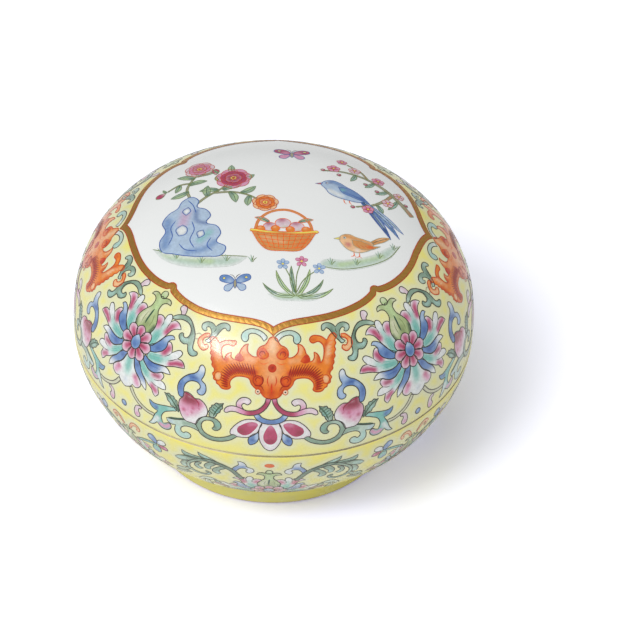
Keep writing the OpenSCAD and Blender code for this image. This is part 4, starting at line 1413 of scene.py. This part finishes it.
def rock(motif):
    """Pierced garden rock in blue and violet washes."""
    motif.shape([(-24.6, -12.6), (-25.4, -9.4), (-24.2, -6.6), (-25, -3.6), (-23.6, -0.8), (-21.8, 0.6),
        (-20.8, 3), (-18.8, 4.2), (-17.2, 2.6), (-17.4, 0.4), (-15.6, -0.6), (-14.4, -2.8), (-15.2, -5.2),
        (-13, -6.4), (-12, -8.8), (-12.8, -11.4), (-10.8, -13.2), (-11.6, -15.4), (-15, -15.6), (-19, -14.9),
        (-22.4, -13.6)], "pale_blue", near("blue", [(-24.2, -11), (-23.8, -7), (-23.8, -3.2)], 1.9, 0.8),
        near("deep_blue", [(-15.4, -5.4), (-17, -4.6), (-17.6, -1)], 1.1, 0.6),
        near("blue", [(-13.2, -11.6), (-15, -13.2), (-19, -13.8)], 1.6, 0.7),
        near("pink", [(-19.8, -1), (-20.4, -5)], 2.0, 0.5),
        near("turquoise", [(-16.4, -10.6), (-14.4, -8.4)], 1.6, 0.6), width=0.2, layer=1)
    for hole in ([(-21.8, -6.4), (-20.4, -5.2), (-19.4, -6.4), (-19.8, -8.4), (-21.2, -8.6)],
                 [(-17, -8), (-15.8, -7.6), (-15.6, -9.2), (-16.8, -10)],
                 [(-20.6, -0.6), (-19.4, 0.6), (-18.8, -0.8), (-19.8, -2.2)]):
        motif.shape(hole, "enamel_white", rim("blue", 0.6, 0.7), layer=2, width=0.18)
    for points in ([(-23.4, -10.8), (-22.6, -8.4), (-23, -5.6), (-22, -3.4)],
                   [(-18.4, -4.4), (-17.8, -7), (-18.6, -10.4), (-17.6, -12.8)],
                   [(-14, -10), (-14.8, -12.4), (-13.6, -14.2)], [(-19.6, 3.2), (-18.4, 1.2), (-17.6, -1.6)],
                   [(-21, -11), (-19.8, -12.8), (-17, -13.8)]):
        motif.line(points, "deep_blue", 0.22, 1)


def peonies(motif):
    """Bush behind the rock: woody stems, leaves and blossoms."""
    for stem in ([(-17.6, 1.6), (-15.4, 4), (-12.6, 6.4), (-10.2, 9.4)],
                 [(-19.2, 3.8), (-20, 7.4), (-19, 11), (-17.4, 14)],
                 [(-13.8, 5.2), (-9.6, 5.2), (-5.6, 3.6), (-3.4, 1.6)],
                 [(-17.8, 9.6), (-21.8, 9.8), (-24.4, 8)]):
        motif.shape(strip(stem, [0.6, 0.45, 0.3]), "brown", width=0.14)
    for base, tip, wide, bend in (
            ((-15.2, 4), (-15.4, 8.2), 1.7, 0.3), ((-13, 6.2), (-17.2, 6.2), 1.6, -0.3),
            ((-12, 6.2), (-8.2, 8), 1.7, 0.3), ((-10.4, 5.4), (-9, 1.4), 1.7, 0.3),
            ((-8, 4.8), (-4.8, 7.4), 1.6, -0.3), ((-19.6, 6.6), (-23.6, 4.8), 1.7, 0.3),
            ((-19.6, 9.2), (-15.6, 10.2), 1.6, 0.3), ((-18.6, 11.6), (-22.6, 13.2), 1.7, -0.3),
            ((-18.2, 12.6), (-14, 13.6), 1.5, 0.2), ((-6, 3.8), (-6.4, 0.2), 1.5, -0.2),
            ((-21.8, 9.8), (-22.6, 6.8), 1.3, 0.2), ((-12.6, 9.6), (-13.6, 12), 1.3, 0.2),
            ((-8, 10.4), (-5.2, 12), 1.6, -0.2), ((-10, 12.8), (-10.4, 16.4), 1.5, 0.2)):
        frond(motif, base, tip, wide, bend)
    blossom(motif, (-9.8, 10.6), 4.0, "magenta", "pink", "deep_magenta")
    blossom(motif, (-17.6, 15.8), 3.4, "pink", "pale_pink", "magenta")
    blossom(motif, (-2.6, 1.4), 2.9, "iron", "pale_iron", "mid_iron")
    for x, y, turn in ((-25.2, 7.4, 215), (-13.8, 12.8, 95)):
        motif.shape(petal((x, y), turn, -0.4, 2.2, 1.7), "magenta", near("pale_pink", (x, y), 0.9, 0.8),
            layer=1, sharp=60)
        frond(motif, (x + 0.5, y + 0.3), (x - 0.4, y + 1.7), 0.6, 0.1, layer=2)


def branch(motif):
    """Flowering branch that comes in from the right."""
    for stem, widths in (([(30.4, 4), (27.4, 8), (24.2, 11.4), (20, 14.2), (14.6, 15.6),
                           (10.2, 15.2)], [1.2, 0.8, 0.3]),
                         ([(25.8, 9.8), (23.8, 6.6), (21, 3.8), (17.4, 2.2)], [0.8, 0.6, 0.3]),
                         ([(20.2, 14.2), (18.6, 17.2), (15.6, 19.6)], [0.5, 0.4, 0.25])):
        motif.shape(strip(stem, widths), "brown", near("mid_iron", [stem[0]], 4.0, 0.4), width=0.15)
    for x, y, size, shade, light in (
            (22.6, 14.6, 1.5, "magenta", "pink"), (17.2, 17.2, 1.4, "pink", "pale_pink"),
            (12.4, 16.6, 1.5, "magenta", "pink"), (24.6, 6.0, 1.4, "pink", "pale_pink"),
            (20.0, 2.0, 1.35, "magenta", "pink"), (27.4, 10.4, 1.3, "pink", "pale_pink"),
            (14.4, 20.6, 1.2, "magenta", "pink")):
        small_flower(motif, (x, y), range(90, 450, 72), size, size * 0.95, light, shade, size * 0.75,
                     "bat_edge", 0.12)
        motif.shape(ring((x, y), 0.3, count=8), "deep_yellow", layer=2, ink="bat_edge", width=0.1, swell=0)
    for x, y in ((10, 15.4), (16.6, 2), (22.2, 9.8), (19.6, 11.8), (13.6, 14), (29, 7.6)):
        motif.shape(ring((x, y), 0.5, 1.0, 8), "magenta", near("pale_pink", (x, y + 0.3), 0.4), layer=1,
            width=0.12)
    for base, tip in (((21.6, 13.2), (19.4, 10.4)), ((17.4, 15.2), (16.2, 12)), ((24.8, 11), (21.8, 8.6)),
                      ((22, 4.4), (23.4, 1.6)), ((27, 8.2), (24.6, 3.6))):
        frond(motif, base, tip, 1.1, 0.2, "leaf", "pale_turquoise")


def orchid(motif):
    """Tuft of long leaves with small flowers near the front edge."""
    motif.shape([(-1.5, -26.2), (2.5, -25.4), (7.5, -25.4), (11.5, -24.6), (9.5, -26.6), (4.5, -27.6),
        (0.5, -27.4)], "pale_leaf", near("fresh_leaf", [(1, -26.4), (8, -26)], 1.0, 0.7),
        rim("enamel_white", 0.8, 0.8), ink="")
    for k, (tip, bend) in enumerate((((-2.6, -23.4), 1.3), ((0.2, -20), 0.9), ((3.4, -18.6), 0.3),
                                     ((7.4, -19.2), -0.6), ((10.4, -21.6), -1.1), ((12.6, -23.6), -1.1))):
        frond(motif, (4.2 + 0.2 * k, -26.4), tip, 0.9, bend, "fresh_leaf" if k % 2 else "leaf", "pale_leaf")
    for x, y, tone, light in ((1.6, -18.2, "blue", "pale_blue"), (5.6, -17.2, "magenta", "pink"),
                              (9.4, -18.8, "blue", "pale_blue")):
        motif.line([(4.6, -25.8), (4.2 + (x - 4.2) * 0.35, y - 3.6), (x, y)], "olive", 0.2)
        small_flower(motif, (x, y), (90, 30, 150, 235, 305), 1.5, 0.85, light, tone, 1.0, tone, 0.11)
        motif.shape(ring((x, y), 0.25, count=8), "deep_yellow", layer=2, ink="", swell=0)


def basket(motif):
    """Wicker basket with fruit."""
    for x, y, r in ((-1.4, -6.9, 1.5), (4.4, -6.6, 1.6), (1.4, -5.6, 1.7)):
        motif.shape(ring((x, y), r, 0.95), "pale_pink",
            near("magenta", (x - 0.3, y + r * 0.8), r * 1.1, 0.8),
            near("fresh_leaf", (x + 0.4, y - r), r * 0.8, 0.6))
    for x, y in ((-3.4, -7.6), (6.4, -7.5), (-0.2, -7.4), (3, -7.6)):
        motif.shape(ring((x, y), 0.95), "iron", near("pale_iron", (x - 0.2, y + 0.4), 0.6, 0.8), layer=1)
    frond(motif, (-1.6, -5.4), (-4.8, -3.8), 1.2, -0.3)
    frond(motif, (4.8, -5.2), (8, -4), 1.2, 0.3)
    motif.shape(strip([(-4.6, -8), (-3.8, -4.6), (-1, -1.6), (2, -1), (5, -2.4), (7.2, -5.4), (7.8, -8)],
        [0.5, 0.6, 0.5]), "wicker", width=0.14)
    motif.shape([(-5.4, -8.2), (-4.8, -9.6), (-3.6, -12.2), (-2.2, -13.9), (1.6, -14.4), (5.4, -13.9),
        (6.8, -12.2), (8, -9.6), (8.6, -8.2), (5, -8.9), (1.6, -9.1), (-1.8, -8.9)], "wicker",
        near("pale_iron", [(-2.6, -10.6), (1.4, -11.6)], 1.4, 0.5),
        near("mid_iron", [(7, -10.4), (4.6, -13.2)], 1.2, 0.4), layer=2)
    for k in range(4):
        motif.line([(-4.9 + 0.55 * k, -9.4 - 1.15 * k), (1.6, -10.0 - 1.25 * k),
            (8.1 - 0.55 * k, -9.4 - 1.15 * k)], "mid_iron", 0.18, 2)
    for k in range(9):
        x = -4.2 + 1.45 * k
        motif.line([(x, -8.9), (1.6 + (x - 1.6) * 0.8, -11.6), (1.6 + (x - 1.6) * 0.62, -13.9)], "mid_iron",
            0.16, 2)
    motif.shape(strip([(-5.6, -8), (-2, -8.7), (1.6, -8.9), (5.2, -8.7), (8.8, -8)], [0.8, 0.9, 0.8]),
        "deep_yellow", near("wicker", (1.6, -8.9), 4.0), layer=2)


def eye(motif, x, y, radius, pupil):
    """White eye whose pupil looks to the left."""
    motif.shape(ring((x, y), radius), "enamel_white", layer=2, width=0.12)
    motif.shape(ring((x - 0.05, y), pupil, count=8), "line", layer=3, ink="", swell=0)


def jay(motif):
    """Bird with a long tail on the branch."""
    for k, (tip, shade) in enumerate((((27.2, -5.6), "blue"), ((25.2, -6.6), "deep_blue"),
                                      ((28.2, -3.6), "pale_blue"))):
        frond(motif, (18.2, 4.8), tip, 1.5, 0.5 - 0.2 * k, shade, "pale_blue")
    motif.shape([(9.6, 9.4), (10.6, 10.7), (12.2, 11.1), (13.8, 10.4), (15.2, 9.2), (17.2, 7.8), (18.8, 6),
        (19.2, 4.4), (17.8, 3.9), (15.4, 4.2), (13.2, 4.8), (11.4, 6), (10.6, 7.6)], "pale_blue",
        near("blue", [(12.2, 10.8), (15, 8.6), (18, 5.8)], 1.3, 0.9),
        near("enamel_white", [(11.6, 7), (14, 5.4)], 1.2, 0.9), near("deep_blue", (11.6, 10.2), 1.1, 0.6),
        layer=1)
    motif.shape([(13.4, 8.8), (15.6, 8.6), (18.4, 6.6), (20.4, 4), (18.6, 4.6), (16.2, 5.6), (14.2, 6.8)],
        "blue", near("deep_blue", (18.8, 5.4), 1.5, 0.8), near("turquoise", (14.4, 7.8), 1.0, 0.7), layer=2)
    motif.comb([(14.4, 7.4), (17.4, 6)], [(15.6, 6.2), (19.4, 4.6)], 5, "deep_blue", 0.14, 2)
    motif.shape([(9.9, 9.9), (8.3, 9.3), (9.8, 9.2)], "mid_iron", layer=1, width=0.12)
    eye(motif, 10.9, 9.8, 0.36, 0.16)
    for x in (14.6, 15.8):
        motif.line([(x, 4.4), (x + 0.2, 3.2), (x + 0.6, 2.7)], "mid_iron", 0.2)


def finch(motif):
    """Small bird on the ground."""
    frond(motif, (20.6, -9.4), (25, -6.2), 1.4, 0.1, "wicker", "pale_iron")
    motif.shape([(13.6, -9.2), (14.4, -8), (15.8, -7.6), (17.4, -8.2), (19.4, -8.6), (21, -9.2), (21, -10.6),
        (19.6, -12), (17.4, -12.8), (15.4, -12.2), (14.2, -10.8)], "pale_iron",
        near("wicker", [(15, -8.2), (18, -8.9), (20.4, -9.6)], 1.1, 0.9),
        near("magenta", (15.6, -10.8), 1.2, 0.7), near("enamel_white", (17.6, -12.2), 1.0, 0.8), layer=1)
    motif.shape([(16.4, -9.2), (18.6, -9.2), (21.4, -10), (22.8, -9.6), (20.6, -11.2), (18.2, -11.6),
        (16.8, -10.8)], "wicker", near("mid_iron", (20.6, -10.4), 1.4, 0.8), layer=2)
    motif.comb([(17.4, -10.4), (20, -10.4)], [(18.4, -11.4), (21.4, -10.6)], 4, "dark_iron", 0.14, 2)
    motif.shape([(13.9, -8.8), (12.4, -9.5), (13.8, -9.6)], "deep_yellow", layer=1, width=0.12)
    eye(motif, 14.8, -8.9, 0.32, 0.15)
    for x in (16.8, 18):
        motif.line([(x, -12.6), (x + 0.1, -13.8), (x - 0.5, -14.2)], "mid_iron", 0.2)
        motif.line([(x + 0.1, -13.7), (x + 0.7, -14.2)], "mid_iron", 0.16)


def butterfly(motif, centre, size, shade, light):
    """Butterfly with open wings."""
    def at(side, *places):
        return [(centre[0] + side * size * a, centre[1] + size * b) for a, b in places]

    for side in (1, -1):
        upper = at(side, (0, 0.2), (0.7, 1.4), (2, 2.2), (3.3, 2), (3.5, 1), (2.4, 0.2), (1, -0.1))
        lower = at(side, (0.1, -0.1), (1.2, -0.3), (2.3, -0.8), (2.4, -1.8), (1.5, -2.2), (0.6, -1.3))
        for wing, tone, other in ((upper, shade, light), (lower, light, shade)):
            motif.shape(wing, tone, near(other, at(side, (1.2, 0.4)), 1.3 * size, 0.8))
        motif.shape(ring(at(side, (2.5, 1.3))[0], 0.32 * size, count=9), "deep_yellow", layer=1, width=0.12)
        motif.line(at(side, (0, 0.9), (0.5, 1.9), (1.2, 2.3)), "line", 0.12, 1)
    motif.shape(at(1, (0, 1), (0.3, 0.3), (0.18, -1.3), (0, -1.6), (-0.18, -1.3), (-0.3, 0.3)), "brown",
        layer=1, width=0.12)


class SEALBOX_OT_garden(bpy.types.Operator):
    """Paint the garden with birds and flowers in the panel"""
    bl_idname = "seal_box.garden"
    bl_label = "Garden"

    def execute(self, context):
        crown = lid_skin(Crown)
        plants = Motif(width=0.14, ink="olive")
        plants.pair = False
        for paint in (earth, peonies, branch, orchid):
            paint(plants)
        plants.ink = "deep_blue"
        rock(plants)
        plants.fire("lid_garden", crown, (0,))
        beasts = Motif(width=0.14, ink="mid_iron")
        beasts.pair = False
        basket(beasts)
        beasts.ink = "brown"
        finch(beasts)
        beasts.ink = "deep_blue"
        jay(beasts)
        butterfly(beasts, (-8.5, -23.2), 0.95, "blue", "pale_blue")
        butterfly(beasts, (3, 22), 1.15, "magenta", "pink")
        beasts.fire("lid_birds", crown, (0,))
        return {"FINISHED"}


class SEALBOX_OT_paste(bpy.types.Operator):
    """Make the red paste, heaped up with soft folds"""
    bl_idname = "seal_box.paste"
    bl_label = "Seal paste"

    def execute(self, context):
        # The paste stays a little inside its solid
        low, top = PASTE_LOW.z + 0.02, PASTE_HIGH.z - 0.05
        edge_z = SEAM_Z - in_mm("paste_below")
        inside = bowl_inside(in_mm("paste_gap") + 0.08)
        inside = inside[(inside[:, 1] > low) & (inside[:, 1] < edge_z)]
        reach = inside[0][0]
        outline = [(0.0, low), (inside[-1][0] - 0.3, low)] + [tuple(p) for p in inside[::-1]]
        sides, rings = 288, 90
        points, faces = lathe(outline, sides, False)
        last, turns = len(points) - sides, even_turns(sides)
        for k in range(1, rings):
            t = 1 - k / rings
            r = reach * t
            heap = edge_z + (top - edge_z) * (1 - t ** 2.2)
            folds = (0.55 * np.sin(5 * turns + 7 * t) + 0.35 * np.sin(9 * turns - 15 * t + 1.3)
                     + 0.3 * np.sin(17 * turns + 23 * t) * t + 0.25 * math.sin(24 * t)
                     + 0.2 * np.sin(29 * turns - 31 * t) * t)
            z = heap - 0.5 * (1 - folds * (1 - t ** 6) * ease(t / 0.4)) * min(1, k / 4)
            points.extend(zip(r * np.sin(turns), -r * np.cos(turns), np.minimum(z, top)))
        points.append((0, 0, top - 0.5))
        faces += around(rings, sides, last)
        inner = last + (rings - 1) * sides
        faces += [(inner + i, inner + (i + 1) % sides, len(points) - 1) for i in range(sides)]
        paste = build("paste", points, faces, "root", "cinnabar_paste")
        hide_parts("seal_paste")
        return {"FINISHED"}


class SEALBOX_OT_stage(bpy.types.Operator):
    """Set up the floor, the soft lights and the camera"""
    bl_idname = "seal_box.stage"
    bl_label = "Stage"

    def execute(self, context):
        self.floor()
        self.lights(context)
        self.camera(context)
        return {"FINISHED"}

    def floor(self):
        recipe = Recipe("pale_floor")
        seen = recipe.node("ShaderNodeLightPath")
        x, _, radius = recipe.upright()
        # The bowl throws yellow light on the paper by its foot, most on the right: a cooler tone
        # evens it out
        cool = (1 - radius.rise(0.027, 0.043)) * (0.3 + 0.7 * x.rise(-0.002, 0.022))
        pale = recipe.mix(cool, (1.3, 1.31, 1.43), (1.28, 1.34, 2.3))
        paper = recipe.mix(seen, (0.9, 0.9, 0.9), pale)
        matte = recipe.node("ShaderNodeBsdfDiffuse", None, {"Color": paper})
        recipe.feed(recipe.tree.nodes["Material Output"].inputs["Surface"], matte)
        mesh = bpy.data.meshes.new("floor")
        reach = 6.0
        mesh.from_pydata([(-reach, -reach, 0), (reach, -reach, 0), (reach, reach, 0), (-reach, reach, 0)],
                         [], [(0, 1, 2, 3)])
        mesh.materials.append(recipe.owner)
        floor = bpy.data.objects.new("floor", mesh)
        bpy.context.scene.collection.objects.link(floor)

    def lights(self, context):
        room = Recipe("pale_room", "worlds")
        seen = room.node("ShaderNodeLightPath", output="Is Camera Ray")
        shiny = room.node("ShaderNodeLightPath", output="Is Glossy Ray")
        room.feed(room.surface.inputs["Color"], (1, 1, 1))
        room.feed(room.surface.inputs["Strength"], 0.5 + seen * 0.5 - shiny * 0.18)
        context.scene.world = room.owner
        self.softbox(context, "soft_light", -37, 56, 1.1, 0.8, 4.35)
        self.softbox(context, "back_light", 122, 42, 1.3, 1.0, 0.3)
        self.softbox(context, "window_light", -38, 49, 1.1, 0.3, 3.0)

    def softbox(self, context, name, azimuth, elevation, distance, size, power):
        """Square light at an azimuth (degrees right of the front) and an elevation."""
        lamp = bpy.data.lights.new(name, "AREA")
        lamp.size = size
        lamp.energy = power
        light = bpy.data.objects.new(name, lamp)
        context.scene.collection.objects.link(light)
        turn, rise = math.radians(azimuth), math.radians(elevation)
        away = Vector((math.sin(turn) * math.cos(rise), -math.cos(turn) * math.cos(rise), math.sin(rise)))
        light.location = Vector((0, 0, 0.035)) + away * distance
        light.rotation_euler = (-away).to_track_quat("-Z", "Y").to_euler()

    def camera(self, context):
        """Camera from above and in front, a little tilted, as the photograph was taken."""
        elevation, azimuth, roll = (math.radians(a) for a in (40.35, -1.25, 2.47))
        distance = 0.6163
        aim = Vector((0.01042, 0, 0.0311))
        away = Vector((math.sin(azimuth) * math.cos(elevation),
                       -math.cos(azimuth) * math.cos(elevation), math.sin(elevation)))
        lens = bpy.data.cameras.new("camera")
        lens.sensor_width = 36.0
        lens.lens = 153.77
        camera = bpy.data.objects.new("camera", lens)
        context.scene.collection.objects.link(camera)
        right = (-away).cross(Vector((0, 0, 1))).normalized()
        up = right.cross(-away)
        across = right * math.cos(roll) + up * math.sin(roll)
        upward = up * math.cos(roll) - right * math.sin(roll)
        turn = Matrix((across, upward, away)).transposed()
        camera.matrix_world = Matrix.Translation(aim + away * distance) @ turn.to_4x4()
        context.scene.camera = camera
        context.scene.view_settings.view_transform = "Standard"


class SEALBOX_PT_panel(bpy.types.Panel):
    """Sizes, colours and steps of the box's finish"""
    bl_idname = "SEALBOX_PT_panel"
    bl_label = "Seal Box"
    bl_space_type = "VIEW_3D"
    bl_region_type = "UI"
    bl_category = "Seal Box"

    def draw(self, context):
        for group in (context.scene.seal_box_sizes, context.scene.seal_box_colours):
            for key in group.bl_rna.properties.keys():
                if key not in ("rna_type", "name"):
                    self.layout.prop(group, key)
        for step in STEPS:
            self.layout.operator(step.bl_idname)


STEPS = (SEALBOX_OT_stage, SEALBOX_OT_lid, SEALBOX_OT_bowl, SEALBOX_OT_border,
         SEALBOX_OT_lid_ornament, SEALBOX_OT_bowl_ornament, SEALBOX_OT_ground, SEALBOX_OT_garden,
         SEALBOX_OT_paste)
CLASSES = (BoxSizes, BoxColours, *STEPS, SEALBOX_PT_panel)


def register():
    for item in CLASSES:
        bpy.utils.register_class(item)
    bpy.types.Scene.seal_box_sizes = bpy.props.PointerProperty(type=BoxSizes)
    bpy.types.Scene.seal_box_colours = bpy.props.PointerProperty(type=BoxColours)


def unregister():
    del bpy.types.Scene.seal_box_colours
    del bpy.types.Scene.seal_box_sizes
    for item in reversed(CLASSES):
        bpy.utils.unregister_class(item)


def main():
    register()
    for step in STEPS:
        group, action = step.bl_idname.split(".")
        getattr(getattr(bpy.ops, group), action)()


if __name__ == "__main__":
    main()
